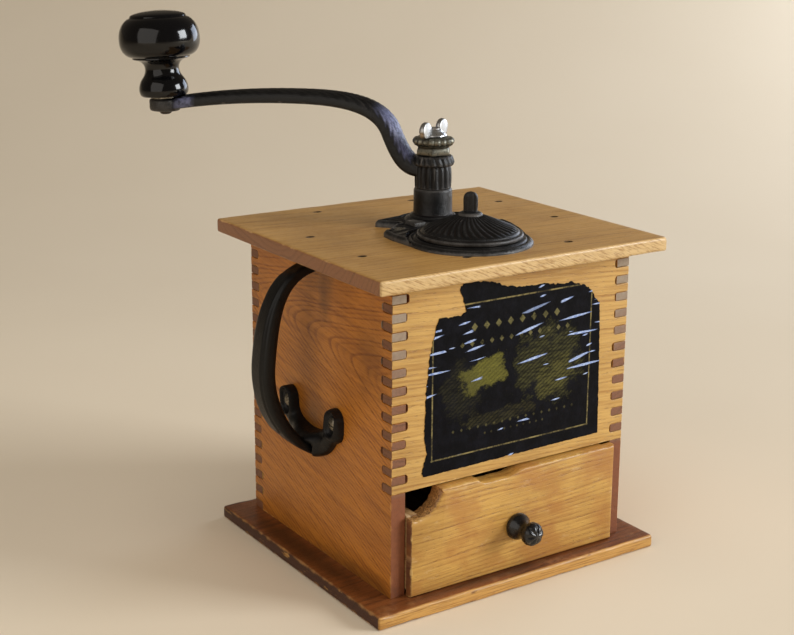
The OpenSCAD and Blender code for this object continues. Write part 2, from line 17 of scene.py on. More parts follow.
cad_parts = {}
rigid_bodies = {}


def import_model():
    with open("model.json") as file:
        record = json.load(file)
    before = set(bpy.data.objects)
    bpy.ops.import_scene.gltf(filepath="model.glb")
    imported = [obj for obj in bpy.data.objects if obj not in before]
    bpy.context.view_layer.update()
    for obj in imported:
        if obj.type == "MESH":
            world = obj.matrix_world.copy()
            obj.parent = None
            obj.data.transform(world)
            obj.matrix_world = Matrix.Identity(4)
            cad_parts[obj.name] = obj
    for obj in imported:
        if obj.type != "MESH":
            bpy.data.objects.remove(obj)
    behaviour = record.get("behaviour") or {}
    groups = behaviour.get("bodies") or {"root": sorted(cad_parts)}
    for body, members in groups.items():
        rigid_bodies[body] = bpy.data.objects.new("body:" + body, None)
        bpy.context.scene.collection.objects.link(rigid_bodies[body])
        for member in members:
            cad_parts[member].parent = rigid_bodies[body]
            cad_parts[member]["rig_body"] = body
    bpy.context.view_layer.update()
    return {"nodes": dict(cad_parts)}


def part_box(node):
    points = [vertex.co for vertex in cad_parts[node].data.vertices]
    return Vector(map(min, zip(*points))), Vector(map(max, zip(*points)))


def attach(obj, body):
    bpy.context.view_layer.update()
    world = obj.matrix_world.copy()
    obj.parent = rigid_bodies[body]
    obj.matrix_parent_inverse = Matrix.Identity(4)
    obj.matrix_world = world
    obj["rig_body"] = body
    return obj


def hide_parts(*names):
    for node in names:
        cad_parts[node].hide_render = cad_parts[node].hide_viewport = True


MM = 0.001

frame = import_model()
NODES = frame["nodes"]

# Levels and sizes that part.scad also states; EYE_TOP is measured from the post's top
CASE_X, CASE_Y, WALL_T = 76.0, 72.0, 8.5
WALL_Z0, WALL_Z1, FRONT_Z0 = 7.0, 170.5, 63.25
TOP_Z, PLATE_Z, POST_Z = 178.0, 181.0, 199.0
FINGER_PITCH = (WALL_Z1 - FRONT_Z0) / 11.5
AXIS_Y = 4.0
PLATE_TURN = -8.8
FILL_OFFSET = 44.5
CRANK_AZ = 130.0
CRANK_LEN = 157.0
EYE_TOP = 41.2
KNOB_LEAN = 3.5
HANDLE_Y = 2.4
DRAWER_Y = -77.0
DRAWER_KNOB_Z = 31.0
DRAWER_IN_X = 60.8
NAILS_AT = [(-71.25, 14), (-71.25, -37.5), (71.25, 38), (71.25, -13.5), (-28, -66.5), (37.5, -66.5),
            (-35.5, 67.5), (29, 67.5)]
PLATE_SCREWS_AT = [(-26, -13), (26, -13), (0, 17.3)]

# The fingers' end grain stands back from the faces by this much, and a wall's edges are this worn
RECESS, WALL_BEVEL = 0.16, 0.32
# Just behind the front faces of both boards, and beside the left face of the base board
FRONT_EDGE_Y, BASE_LEFT_X = -85.6, -91.6


# ---------------------------------------------------------------- frames

def turned(x, y, z, degrees):
    return Matrix.Translation((x, y, z)) @ Matrix.Rotation(math.radians(degrees), 4, "Z")


PLATE = turned(0, AXIS_Y, 0, PLATE_TURN)
LID = PLATE @ Matrix.Translation((0, -FILL_OFFSET, 0))
CRANK = turned(0, AXIS_Y, 0, CRANK_AZ)
KNOB = (
    CRANK
    @ Matrix.Translation((CRANK_LEN, 0, POST_Z + EYE_TOP))
    @ Matrix.Rotation(math.radians(KNOB_LEAN), 4, "Y")
)
WING_NUT = turned(0, AXIS_Y, 0, 27.6)
DRAWER_KNOB = Matrix.Translation((0, DRAWER_Y, DRAWER_KNOB_Z)) @ Matrix.Rotation(math.pi / 2, 4, "X")


# ---------------------------------------------------------------- meshes

def cad_box(node):
    """A CAD node's lowest and highest corners, in mm."""
    return [tuple(v / MM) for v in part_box(node)]


def put_in_scene(name, data):
    made = bpy.data.objects.new(name, data)
    bpy.context.scene.collection.objects.link(made)
    return made


def shells_mesh(name, shells, matrix=None):
    """One mesh, in metres, of several closed shells."""
    points, faces = [], []
    for shell_points, shell_faces in shells:
        first = len(points)
        points += [Vector(p) for p in shell_points]
        faces += [[i + first for i in f] for f in shell_faces]
    if matrix is not None:
        points = [matrix @ p for p in points]
    mesh = bpy.data.meshes.new(name)
    mesh.from_pydata([p * MM for p in points], [], faces)
    mesh.validate()
    return mesh


def mesh_piece(name, node, shells, material, matrix=None, sharp=None, bevel=None):
    """One piece that stands for a CAD node: closed shells of (points in mm, faces)."""
    mesh = shells_mesh(name, shells, matrix)
    mesh.materials.append(material)
    mesh.shade_smooth()
    if sharp:
        mesh.set_sharp_from_angle(angle=math.radians(sharp))
    piece = put_in_scene(name, mesh)
    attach(piece, NODES[node]["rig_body"])
    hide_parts(node)
    if bevel:
        add_bevel(piece, bevel)
    return piece


def add_bevel(piece, width_mm):
    modifier = piece.modifiers.new("Edges", "BEVEL")
    modifier.width = width_mm * MM
    modifier.segments = 2
    modifier.limit_method = "ANGLE"
    modifier.angle_limit = math.radians(35)
    modifier.harden_normals = True


def ring_shell(rings):
    """A closed shell through rings of equal length, with a face over each end."""
    n = len(rings[0])
    points = [p for ring in rings for p in ring]
    last = len(points) - n
    faces = []
    for a in range(0, last, n):
        for j in range(n):
            k = (j + 1) % n
            faces.append([a + j, a + k, a + n + k, a + n + j])
    faces.append(list(range(n))[::-1])
    faces.append(list(range(last, last + n)))
    return points, faces


def beads(x):
    """A ripple from -1 to 1 with round crests and narrow grooves."""
    return 2 * abs(math.cos(x / 2)) - 1


def angles_round(count, phase=0.0):
    """Evenly spaced angles once round a circle, in radians."""
    return [2 * math.pi * (i + phase) / count for i in range(count)]


def signed_power(x, power):
    """A power that keeps the sign: below 1 it makes a circle's sines and cosines squarer."""
    return math.copysign(abs(x) ** power, x)


def bell(x, middle, width):
    return math.exp(-(((x - middle) / width) ** 2))


def revolve(rows, segments=96):
    """A shell of revolution. A row is (r, z), or (r, z, count, radial, axial, phase) with ripples."""
    rings = []
    for row in rows:
        r, z, count, radial, axial, phase = (*row, 0, 0, 0, 0)[:6]
        ring = []
        for t in angles_round(segments):
            f = beads(count * t + phase) if count else 0
            out = r + radial * f
            ring.append((out * math.cos(t), out * math.sin(t), z + axial * f))
        rings.append(ring)
    return ring_shell(rings)


def raised(rows, z0):
    """Rows of revolve() with their heights measured from z0."""
    return [(r, z0 + z, *ripples) for r, z, *ripples in rows]


def bezier(p, n):
    """n + 1 points along a cubic curve."""
    p = [Vector(q) for q in p]
    return [
        (1 - t) ** 3 * p[0] + 3 * t * (1 - t) ** 2 * p[1] + 3 * t * t * (1 - t) * p[2] + t**3 * p[3]
        for t in (i / n for i in range(n + 1))
    ]


def smooth(lo, hi, x):
    t = min(max((x - lo) / (hi - lo), 0), 1)
    return t * t * (3 - 2 * t)


def arc(cx, cz, r, a0, a1, n):
    """n + 1 points from a0 to a1 degrees round a circle."""
    turn = [math.radians(a0 + (a1 - a0) * i / n) for i in range(n + 1)]
    return [(cx + r * math.cos(a), cz + r * math.sin(a)) for a in turn]


def circle(cx, cy, r, n):
    """n points once round a circle."""
    return [(cx + r * math.cos(a), cy + r * math.sin(a)) for a in angles_round(n)]


def place_xyz(x, y, z):
    return (x, y, z)


def prism(outline, to_point, lo, hi):
    """A closed shell between two copies of an outline: to_point(u, v, w) gives the place."""
    return ring_shell([[to_point(u, v, w) for u, v in outline] for w in (lo, hi)])


def plank(node, radii, seed, wear):
    """A CAD board along X whose edges are rounded and worn unevenly.

    radii are those of the edges front-bottom, back-bottom, back-top and front-top.
    """
    (x0, y0, z0), (x1, y1, z1) = cad_box(node)
    corners = [(y0, z0, 180), (y1, z0, 270), (y1, z1, 0), (y0, z1, 90)]
    end_round, step, shoulder = 1.0, 2.5, 0.7
    ends = [(end_round * (1 - math.cos(a)), end_round * (1 - math.sin(a)))
            for a in (math.radians(22.5 * i) for i in range(5))]
    length = x1 - x0 - 2 * end_round
    count = int(length / step)
    stations = [(x0 + d, inset) for d, inset in ends]
    stations += [(x0 + end_round + length * i / count, 0) for i in range(1, count)]
    stations += [(x1 - d, inset) for d, inset in reversed(ends)]
    rng = random.Random(seed)
    # A ding's place, edge, depth and width
    dings = [(rng.uniform(x0, x1), rng.randrange(4), rng.uniform(0.2, 0.8), rng.uniform(2.5, 6))
             for _ in range(26)]

    def beside(p, a):
        return (p[0] + shoulder * math.cos(a), p[1] + shoulder * math.sin(a))

    rings = []
    for x, inset in stations:
        ring = []
        for k, (cy, cz, a0) in enumerate(corners):
            r = radii[k] * (1 + wear * noise.noise((x * 0.09, k * 7.3, seed * 3.1)))
            r += sum(depth * bell(x, at, width) for at, edge, depth, width in dings if edge == k)
            oy = cy + (1 if cy == y0 else -1) * (inset + r)
            oz = cz + (1 if cz == z0 else -1) * (inset + r)
            turn = [math.radians(a0 + 90 * j / 5) for j in range(6)]
            loop = [(oy + r * math.cos(a), oz + r * math.sin(a)) for a in turn]
            # A point on the flat beside each end of the rounding keeps the shading tight
            lead, tail = turn[0] - math.pi / 2, turn[-1] + math.pi / 2
            loop = [beside(loop[0], lead), *loop, beside(loop[-1], tail)]
            ring += [(x, y, z) for y, z in loop]
        rings.append(ring)
    return ring_shell(rings)


def sweep(path, normals, section):
    """A shell along a path: section(i) gives (across, out) pairs, out along the normal."""
    rings = []
    for i, (p, n) in enumerate(zip(path, normals)):
        along = (path[min(i + 1, len(path) - 1)] - path[max(i - 1, 0)]).normalized()
        across = along.cross(n)
        rings.append([p + across * u + n * v for u, v in section(i)])
    return ring_shell(rings)


def planar_path(points):
    """A path, its normals and its length up to each point, from (along, up) points in the XZ plane."""
    path = [Vector((x, 0, z)) for x, z in points]
    normals, lengths = [], [0.0]
    for i in range(len(path)):
        d = (path[min(i + 1, len(path) - 1)] - path[max(i - 1, 0)]).normalized()
        normals.append(Vector((-d.z, 0, d.x)))
        if i:
            lengths.append(lengths[-1] + (path[i] - path[i - 1]).length)
    return path, normals, lengths


def cad_loop(node, axis, level, matrix):
    """The longest outline of a CAD node's flat faces at a level (mm) across an axis."""
    mesh = NODES[node].data
    co = [v.co / MM for v in mesh.vertices]
    key = [tuple(round(c, 3) for c in p) for p in co]
    # Edges that one face alone has. A dict keeps them in the order of the faces
    sides = {}
    for f in mesh.polygons:
        if abs(abs(f.normal[axis]) - 1) < 1e-3 and all(abs(co[i][axis] - level) < 1e-2 for i in f.vertices):
            ids = list(f.vertices)
            for a, b in zip(ids, ids[1:] + ids[:1]):
                sides[key[a], key[b]] = True
    after = {a: b for a, b in sides if (b, a) not in sides}
    loops = []
    while after:
        loop = [next(iter(after))]
        while loop[-1] in after:
            loop.append(after.pop(loop[-1]))
        loops.append(loop)
    best = max(loops, key=lambda loop: len(loop) + sum(map(math.dist, loop, loop[1:])))
    inverse = matrix.inverted()
    u, v = (k for k in range(3) if k != axis)
    return [(p[u], p[v]) for p in (inverse @ Vector(q) for q in best[:-1])]


def resample(loop, step):
    """Points about step apart along a closed outline; its corners stay."""
    out = []
    for a, b in zip(loop, loop[1:] + loop[:1]):
        n = max(1, round(math.dist(a, b) / step))
        out += [(a[0] + (b[0] - a[0]) * i / n, a[1] + (b[1] - a[1]) * i / n) for i in range(n)]
    return out


def edge_distance(points, loop):
    """Distance of each point to a closed outline."""
    p = np.array(points)[:, None, :]
    a = np.array(loop)
    b = np.roll(a, -1, axis=0)
    d = b - a
    t = np.clip(((p - a) * d).sum(2) / np.maximum((d * d).sum(1), 1e-12), 0, 1)
    return np.linalg.norm(p - (a + t[..., None] * d), axis=2).min(1)


def inside(points, loop):
    """Which points lie inside a closed outline."""
    p = np.array(points)
    a = np.array(loop)
    b = np.roll(a, -1, axis=0)
    x, y = p[:, :1], p[:, 1:]
    crosses = (a[:, 1] > y) != (b[:, 1] > y)
    rise = np.where(b[:, 1] == a[:, 1], 1e-9, b[:, 1] - a[:, 1])
    at = a[:, 0] + (y - a[:, 1]) / rise * (b[:, 0] - a[:, 0])
    return (crosses & (x < at)).sum(1) % 2 == 1


def relief(loop, height, base, to_point, holes=(), pitch=0.7, edge_step=0.6):
    """A casting on a flat back: the outline's area, less its holes, raised to height(u, v, edge).

    edge is the distance to the outline, and to_point(u, v, w) gives a point's place.
    """
    rims = [resample(r, edge_step) for r in (loop, *holes)]
    lo, hi = np.min(rims[0], 0), np.max(rims[0], 0)
    us = np.arange(lo[0], hi[0], pitch)
    vs = np.arange(lo[1], hi[1], pitch * 0.87)
    clear = pitch * 0.35
    # Staggered rows, for nearly equal-sided triangles, clear of every outline
    grid = [(u + (pitch / 2 if j % 2 else 0), v) for j, v in enumerate(vs) for u in us]
    far = edge_distance(grid, rims[0])
    keep = inside(grid, rims[0]) & (far > clear)
    for hole in rims[1:]:
        keep &= ~inside(grid, hole) & (edge_distance(grid, hole) > clear)
    edge_points = [p for rim in rims for p in rim]
    far = [*edge_distance(edge_points, rims[0]), *far[keep]]
    edges = []
    for rim in rims:
        first, n = len(edges), len(rim)
        edges += [(first + i, first + (i + 1) % n) for i in range(n)]

    def triangles(flat):
        points, _, faces, _, _, _ = delaunay_2d_cdt([Vector(p) for p in flat], edges, [], 1, 1e-5)
        if len(points) != len(flat):
            raise ValueError("the outline crosses itself")
        middles = [tuple(sum((Vector(flat[i]) for i in f), Vector((0, 0))) / len(f)) for f in faces]
        in_hole = np.zeros(len(faces), bool)
        for hole in rims[1:]:
            in_hole |= inside(middles, hole)
        return [list(f) for f, skipped in zip(faces, in_hole) if not skipped]

    flat = edge_points + [g for g, kept in zip(grid, keep) if kept]
    top = [to_point(u, v, height(u, v, float(d))) for (u, v), d in zip(flat, far)]
    bottom = [to_point(u, v, base) for u, v in edge_points]
    first = len(top)
    shell = triangles(flat)
    used = set()
    for f in shell:
        used.update(zip(f, f[1:] + f[:1]))
    shell += [[first + i for i in f[::-1]] for f in triangles(edge_points)]
    for a, b in edges:
        shell.append([b, a, first + a, first + b] if (a, b) in used else [a, b, first + b, first + a])
    return top + bottom, shell


# ---------------------------------------------------------------- node graphs

def srgb(r, g, b):
    """An 8-bit screen colour as linear RGBA."""
    shares = (c / 255 for c in (r, g, b))
    return (*(c / 12.92 if c <= 0.04045 else ((c + 0.055) / 1.055) ** 2.4 for c in shares), 1.0)


class Value:
    """A node's output, with arithmetic that adds Math nodes."""

    def __init__(self, graph, socket):
        self.graph, self.socket = graph, socket

    def math(self, kind, *others):
        return self.graph.node("ShaderNodeMath", (self, *others), operation=kind)

    def __rsub__(self, other):
        return self.graph.node("ShaderNodeMath", (other, self), operation="SUBTRACT")

    def step(self, lo, hi, a=0.0, b=1.0):
        """Smoothly from a, below lo, to b, above hi."""
        return self.graph.node("ShaderNodeMapRange", (self, lo, hi, a, b), interpolation_type="SMOOTHSTEP")

    def fall(self, lo, hi):
        """Smoothly from 1, below lo, to 0, above hi."""
        return self.step(lo, hi, 1.0, 0.0)


for method, operation in (("__add__", "ADD"), ("__sub__", "SUBTRACT"), ("__mul__", "MULTIPLY"),
                          ("__truediv__", "DIVIDE"), ("__pow__", "POWER"), ("min", "MINIMUM"),
                          ("max", "MAXIMUM"), ("abs", "ABSOLUTE"), ("fract", "FRACT")):
    setattr(Value, method, partialmethod(Value.math, operation))


class Graph:
    """A material with one Principled shader, built from expressions."""

    def __init__(self, name, **shader):
        self.material = bpy.data.materials.new(name)
        self.material.use_nodes = True
        self.tree = self.material.node_tree
        self.shader = self.tree.nodes["Principled BSDF"]
        for key, value in shader.items():
            self.shader.inputs[key.replace("_", " ")].default_value = value
        coords = self.tree.nodes.new("ShaderNodeTexCoord")
        self.normal = Value(self, coords.outputs["Normal"])
        self.mm = self.vector("SCALE", Value(self, coords.outputs["Object"]), scale=1 / MM)

    def put(self, socket, value):
        if isinstance(value, Value):
            self.tree.links.new(value.socket, socket)
        elif value is not None:
            socket.default_value = value

    def node(self, kind, inputs=(), out=0, **settings):
        made = self.tree.nodes.new(kind)
        for key, value in settings.items():
            setattr(made, key, value)
        for socket, value in zip([s for s in made.inputs if s.enabled], inputs):
            self.put(socket, value)
        return Value(self, [s for s in made.outputs if s.enabled][out])

    def vector(self, kind, a, b=None, scale=None):
        made = self.tree.nodes.new("ShaderNodeVectorMath")
        made.operation = kind
        for index, value in ((0, a), (1, b), (3, scale)):
            self.put(made.inputs[index], value)
        return Value(self, [s for s in made.outputs if s.enabled][0])

    def dot(self, a, b):
        return self.vector("DOT_PRODUCT", a, b)

    def facing(self, *axis):
        """How much the surface faces along an axis of the piece, from -1 to 1."""
        return self.dot(self.normal, axis)

    def xyz(self, v):
        made = self.tree.nodes.new("ShaderNodeSeparateXYZ")
        self.put(made.inputs[0], v)
        return [Value(self, s) for s in made.outputs]

    def join(self, x, y, z):
        return self.node("ShaderNodeCombineXYZ", (x, y, z))

    def noise(self, v, scale=1.0, detail=2.0, rough=0.5):
        made = self.tree.nodes.new("ShaderNodeTexNoise")
        for key, value in (("Vector", v), ("Scale", scale), ("Detail", detail), ("Roughness", rough)):
            self.put(made.inputs[key], value)
        return Value(self, made.outputs[0])

    def cells(self, v, out="Distance"):
        made = self.tree.nodes.new("ShaderNodeTexVoronoi")
        self.put(made.inputs["Vector"], v)
        self.put(made.inputs["Scale"], 1.0)
        return Value(self, made.outputs[out])

    def mix(self, share, a, b):
        made = self.tree.nodes.new("ShaderNodeMix")
        made.data_type = "RGBA"
        for index, value in ((0, share), (6, a), (7, b)):
            self.put(made.inputs[index], value)
        return Value(self, made.outputs[2])

    def pointiness(self):
        return self.node("ShaderNodeNewGeometry", out=7)

    def finish(self, colour, roughness, height, depth_mm, strength, metallic=None):
        """Wires the shader up, with the height as a bump depth_mm deep."""
        bump = self.tree.nodes.new("ShaderNodeBump")
        bump.inputs["Strength"].default_value = strength
        bump.inputs["Distance"].default_value = depth_mm * MM
        self.put(bump.inputs["Height"], height)
        normal = Value(self, bump.outputs["Normal"])
        for key, value in (("Base Color", colour), ("Roughness", roughness), ("Metallic", metallic),
                           ("Normal", normal)):
            self.put(self.shader.inputs[key], value)
        return self.material


# ---------------------------------------------------------------- materials

def shade(colour, share, lift=0.0):
    """A linear colour with its light scaled and lifted."""
    return (*(c * share + lift for c in colour[:3]), 1.0)


def wood(name, grain, pith, rings, box, light, dark, end, wear, lines=0.5, pores=0.6, taper=0.0,
         edge_wear=1.2, coat=0.12, wander=5.0, extra=None):
    """Open-grained wood cut from a log whose pith runs along grain through the point pith (mm).

    rings is the width of a year's ring, lines and pores are how much they show, and taper is how much
    the log narrows along grain. box is the board's (low, high) corner, for its worn edges.
    extra(graph, colour) may add marks of the board's own.
    """
    g = Graph(name, Specular_IOR_Level=0.42, Coat_Weight=coat, Coat_Roughness=0.32)
    axis = tuple(Vector(grain).normalized())
    p = g.vector("SUBTRACT", g.mm, pith)
    along = g.dot(p, axis)
    lengthwise = g.vector("SCALE", axis, scale=along)
    radial = g.vector("SUBTRACT", p, lengthwise)

    def stretched(share):
        """The place with its part along the grain shrunk, so that noise there runs in streaks."""
        return g.vector("ADD", radial, g.vector("SCALE", lengthwise, scale=share))

    # The log's shape wanders slowly along its length and faster across it
    slow = stretched(0.22)
    bend = (g.noise(slow, 0.022) - 0.5) * (2 * wander) + (g.noise(slow, 0.09, 1.0) - 0.5) * 2.2
    r = (g.vector("LENGTH", radial) + along * taper + bend) / rings
    year = r.fract()
    fibre_at = stretched(0.03)
    fibre = g.noise(fibre_at, 1.2, 3.0, 0.6)
    streak = g.noise(fibre_at, 0.3, 3.0, 0.55)
    pore = g.noise(stretched(0.14), 2.1, 1.0).step(0.55, 0.66)
    early = year.step(0.0, 0.12) * year.fall(0.2, 0.66)
    # Each year differs in strength from the next
    strength = g.noise(g.join(r.math("FLOOR"), 0.0, 0.0), 0.73, 0.0).step(0.34, 0.66, 0.12, 1.0)
    line = early * strength
    darkness = line * lines + (fibre - 0.5) * 0.9 + (streak - 0.5) * 1.1 + 0.3
    colour = g.mix(darkness.step(0.0, 1.0), light, dark)
    colour = g.mix((line * 0.8 + 0.12) * pore * pores, colour, shade(dark, 0.5))
    blotch = g.noise(g.mm, 0.02, 3.0, 0.55).step(0.42, 0.75, 0.0, 0.3)
    colour = g.mix(blotch, colour, shade(dark, 0.62))
    # End grain is darker, with the years as arcs and dirt in its pores
    across = g.facing(*axis).abs().step(0.6, 0.85)
    open_pores = g.noise(g.mm, 1.3, 2.0, 0.6)
    soil = (open_pores * 0.9 + line * 0.3 - 0.2).step(0.1, 0.9)
    colour = g.mix(across, colour, g.mix(soil, end, shade(end, 0.55)))
    # Worn edges: the distance to the nearest edge is the middle one of three face distances
    a, b, c = [(v - lo).min(hi - v) for v, lo, hi in zip(g.xyz(g.mm), *box)]
    edge = a.min(b).max(a.max(b).min(c))
    ragged = g.noise(g.mm, 0.16, 3.0, 0.6)
    worn = (edge + ragged * 5.0).fall(2.2, 2.2 + edge_wear * 1.6)
    colour = g.mix(worn * 0.8, colour, wear)
    if extra:
        colour = extra(g, colour)
    roughness = pore * 0.12 + worn * 0.22 + across * 0.15 + g.noise(g.mm, 0.05) * 0.16 + 0.3
    height = 0.6 - pore * (line * 0.7 + 0.3) * 0.6 - line * 0.15 + fibre * 0.3 - open_pores * across * 0.5
    return g.finish(colour, roughness, height, depth_mm=0.18, strength=0.7)


def stains_and_shade(g, colour, spots, paint):
    """Soft dark marks, some of them stains and some painted shade: (centre mm, half sizes mm, strength) each.
    """
    total = None
    ragged = (g.noise(g.mm, 0.07, 3.0, 0.6) - 0.5) * 1.3
    for centre, sizes, strength in spots:
        d = g.vector("DIVIDE", g.vector("SUBTRACT", g.mm, centre), sizes)
        mark = (g.vector("LENGTH", d) + ragged).step(0.1, 1.1, strength, 0.0)
        total = mark if total is None else total.max(mark)
    return g.mix(total, colour, paint)


HONEY, HONEY_DARK = srgb(209, 167, 94), srgb(166, 119, 56)
AMBER, AMBER_DARK = srgb(201, 129, 46), srgb(150, 84, 27)
END_BROWN = srgb(128, 84, 58)


def case_side_wood(side):
    box = ((-CASE_X, -CASE_Y, WALL_Z0), (CASE_X, CASE_Y, WALL_Z1))

    def marks(g, colour):
        # Lower ends of the fingers are browner, the upper ones grey from dirt
        z = g.xyz(g.mm)[2]
        grey = g.mix(g.noise(g.mm, 0.5), srgb(168, 152, 132), srgb(136, 118, 98))
        tip = g.facing(0, 1, 0).abs().step(0.6, 0.85) * (z + g.noise(g.mm, 0.1) * 30).step(118, 172)
        colour = g.mix(tip, colour, grey)
        # Beside the drawer the end grain is redder
        beside = g.facing(0, -1, 0).step(0.6, 0.85) * z.fall(60, 63)
        red = g.mix(g.noise(g.mm, 0.4, 3.0), srgb(112, 58, 28), srgb(140, 78, 40))
        colour = g.mix(beside * 0.8, colour, red)
        if side > 0:
            return colour
        # Painted shade under the top board and along the wall's foot, a painted shadow round the handle's
        # foot between its lugs, and darker patches towards the front and down the back edge
        spots = [((-CASE_X, y, z), sizes, strength) for y, z, sizes, strength in (
            (-8, 157, (12, 9, 26), 0.55), (-52, 128, (12, 16, 30), 0.3), (2, 84, (12, 17, 13), 0.42),
            (-40, 8, (12, 60, 9), 0.5), (68, 90, (12, 5, 90), 0.3))]
        return stains_and_shade(g, colour, spots, srgb(70, 42, 22))

    if side < 0:
        return wood("case_side_left", (0.0, 0.98, 0.15), (-69.0, -28.0, 125.0), 2.2, box, AMBER, AMBER_DARK,
                    END_BROWN, srgb(206, 152, 88), taper=0.3, edge_wear=0.5, wander=1.4, extra=marks)
    return wood("case_side_right", (0.05, 1.0, 0.03), (95.0, 20.0, 60.0), 2.8, box, srgb(205, 147, 75),
                srgb(158, 104, 48), END_BROWN, srgb(206, 160, 96), lines=0.35, edge_wear=0.5, taper=0.05,
                wander=6.0, extra=marks)


def case_front_wood(back=False):
    y = CASE_Y + 20 if back else -CASE_Y - 9
    pith = (20, y, 60) if back else (-70, y, 236)
    bottom = WALL_Z0 if back else FRONT_Z0
    return wood("case_back" if back else "case_front", (1.0, 0.02, -0.06), pith, 2.6,
                ((-CASE_X, -CASE_Y, bottom), (CASE_X, CASE_Y, WALL_Z1)), HONEY, HONEY_DARK, END_BROWN,
                srgb(222, 184, 116), lines=0.32, edge_wear=0.4, wander=7.0)


def top_wood():
    box = cad_box("top_board")

    def marks(g, colour):
        spots = [((-62, 20, TOP_Z), (24, 60, 8), 0.25), ((0, -20, TOP_Z), (52, 56, 8), 0.34)]
        colour = stains_and_shade(g, colour, spots, srgb(112, 74, 38))
        # Dark pits over the nails
        for nail_x, nail_y in NAILS_AT:
            d = g.vector("MULTIPLY", g.vector("SUBTRACT", g.mm, (nail_x, nail_y, TOP_Z)), (0.36, 0.5, 0.3))
            colour = g.mix(g.vector("LENGTH", d).step(0.7, 1.2, 0.92, 0.0), colour, srgb(34, 22, 14))
        # The sawn front edge is bare and shows slanting tear-out
        x, y, z = g.xyz(g.mm)
        slant = g.noise(g.join(x * 0.55 + z * 1.1, z * 0.3, 0.0), 0.9, 3.0, 0.7).step(0.46, 0.66)
        bare = g.mix(slant * 0.85, srgb(214, 182, 128), srgb(152, 110, 58))
        front = y.fall(FRONT_EDGE_Y, FRONT_EDGE_Y + 1.2)
        return g.mix(front * g.noise(g.mm, 0.08).step(0.2, 0.5, 0.55, 0.9), colour, bare)

    return wood("top_board", (1.0, -0.05, 0.03), (-10, 20, 232), 3.2, box, srgb(188, 145, 82),
                srgb(148, 104, 52), srgb(150, 104, 72), srgb(196, 156, 104), lines=0.32, pores=0.3,
                edge_wear=0.4, coat=0.16, wander=9.0, extra=marks)


def base_wood():
    def marks(g, colour):
        x, y, z = g.xyz(g.mm)
        # Its front edge is scraped bare, its left edge only here and there
        scraped = g.noise(g.join(x * 0.4, y * 0.25, z * 1.2), 0.22, 4.0, 0.65)
        grain_lines = g.noise(g.join(x * 0.05, y * 0.05, z * 1.6), 1.0, 3.0, 0.6).step(0.42, 0.66)
        honey = g.mix(grain_lines * 0.7, srgb(204, 156, 84), srgb(146, 98, 42))
        front = y.fall(FRONT_EDGE_Y, FRONT_EDGE_Y + 1.0) * scraped.step(0.28, 0.4, 0.2, 0.92)
        left = x.fall(BASE_LEFT_X, BASE_LEFT_X + 1.0) * scraped.step(0.58, 0.66, 0.0, 0.8)
        colour = g.mix(front.max(left), colour, honey)
        # The top is rubbed in patches along the front
        rubbed = g.noise(g.mm, 0.06, 4.0, 0.65).step(0.5, 0.62)
        rubbed = rubbed * y.step(-84, -66, 1.0, 0.15) * z.step(6.0, 6.9)
        colour = g.mix(rubbed * 0.6, colour, srgb(158, 108, 66))
        # Painted shade on the base's top along the foot of the case front and of the left wall
        spots = [((-10, -79, 7), (80, 5, 6), 0.6), ((-84, 0, 7), (8, 90, 6), 0.7)]
        return stains_and_shade(g, colour, spots, srgb(40, 22, 12))

    return wood("base_board", (1.0, 0.04, 0.0), (0, 10, 46), 3.2, cad_box("base_board"), srgb(132, 76, 38),
                srgb(86, 46, 22), srgb(74, 42, 28), srgb(170, 124, 74), lines=0.4, edge_wear=1.0, coat=0.0,
                wander=10.0, extra=marks)


def drawer_wood():
    def marks(g, colour):
        x, y, z = g.xyz(g.mm)
        # Gnawed wood at the corner is fresh and splintered
        gnawed = g.facing(0, -1, 0).fall(0.35, 0.95) * x.fall(-50, -44) * z.step(46, 50)
        splinters = g.noise(g.join(x * 0.3, y * 2.0, z * 1.8), 0.9, 3.0, 0.7).step(0.3, 0.7)
        colour = g.mix(gnawed, colour, g.mix(splinters, srgb(58, 34, 18), srgb(184, 136, 80)))
        scratch = g.cells(g.join(x * 0.07, y, z * 0.11)).step(0.02, 0.06, 0.5, 0.0)
        colour = g.mix(scratch, colour, srgb(96, 66, 36))
        scuffed = g.noise(g.join(x * 0.4, 0.0, z), 0.16, 4.0, 0.7).step(0.58, 0.7, 0.0, 0.5)
        colour = g.mix(scuffed, colour, srgb(208, 176, 128))
        # Old oil has gone browner in clouds
        cloud = g.noise(g.join(x, y, z * 1.4), 0.035, 3.0, 0.6).step(0.4, 0.64, 0.0, 0.55)
        return g.mix(cloud, colour, srgb(164, 104, 44))

    return wood("drawer_front", (1.0, 0.0, 0.035), (60, -92, -52), 2.5, cad_box("drawer_front"),
                srgb(208, 163, 84), srgb(160, 112, 50), srgb(104, 62, 38), srgb(226, 190, 122), lines=0.32,
                taper=0.03, edge_wear=0.7, wander=7.0, extra=marks)


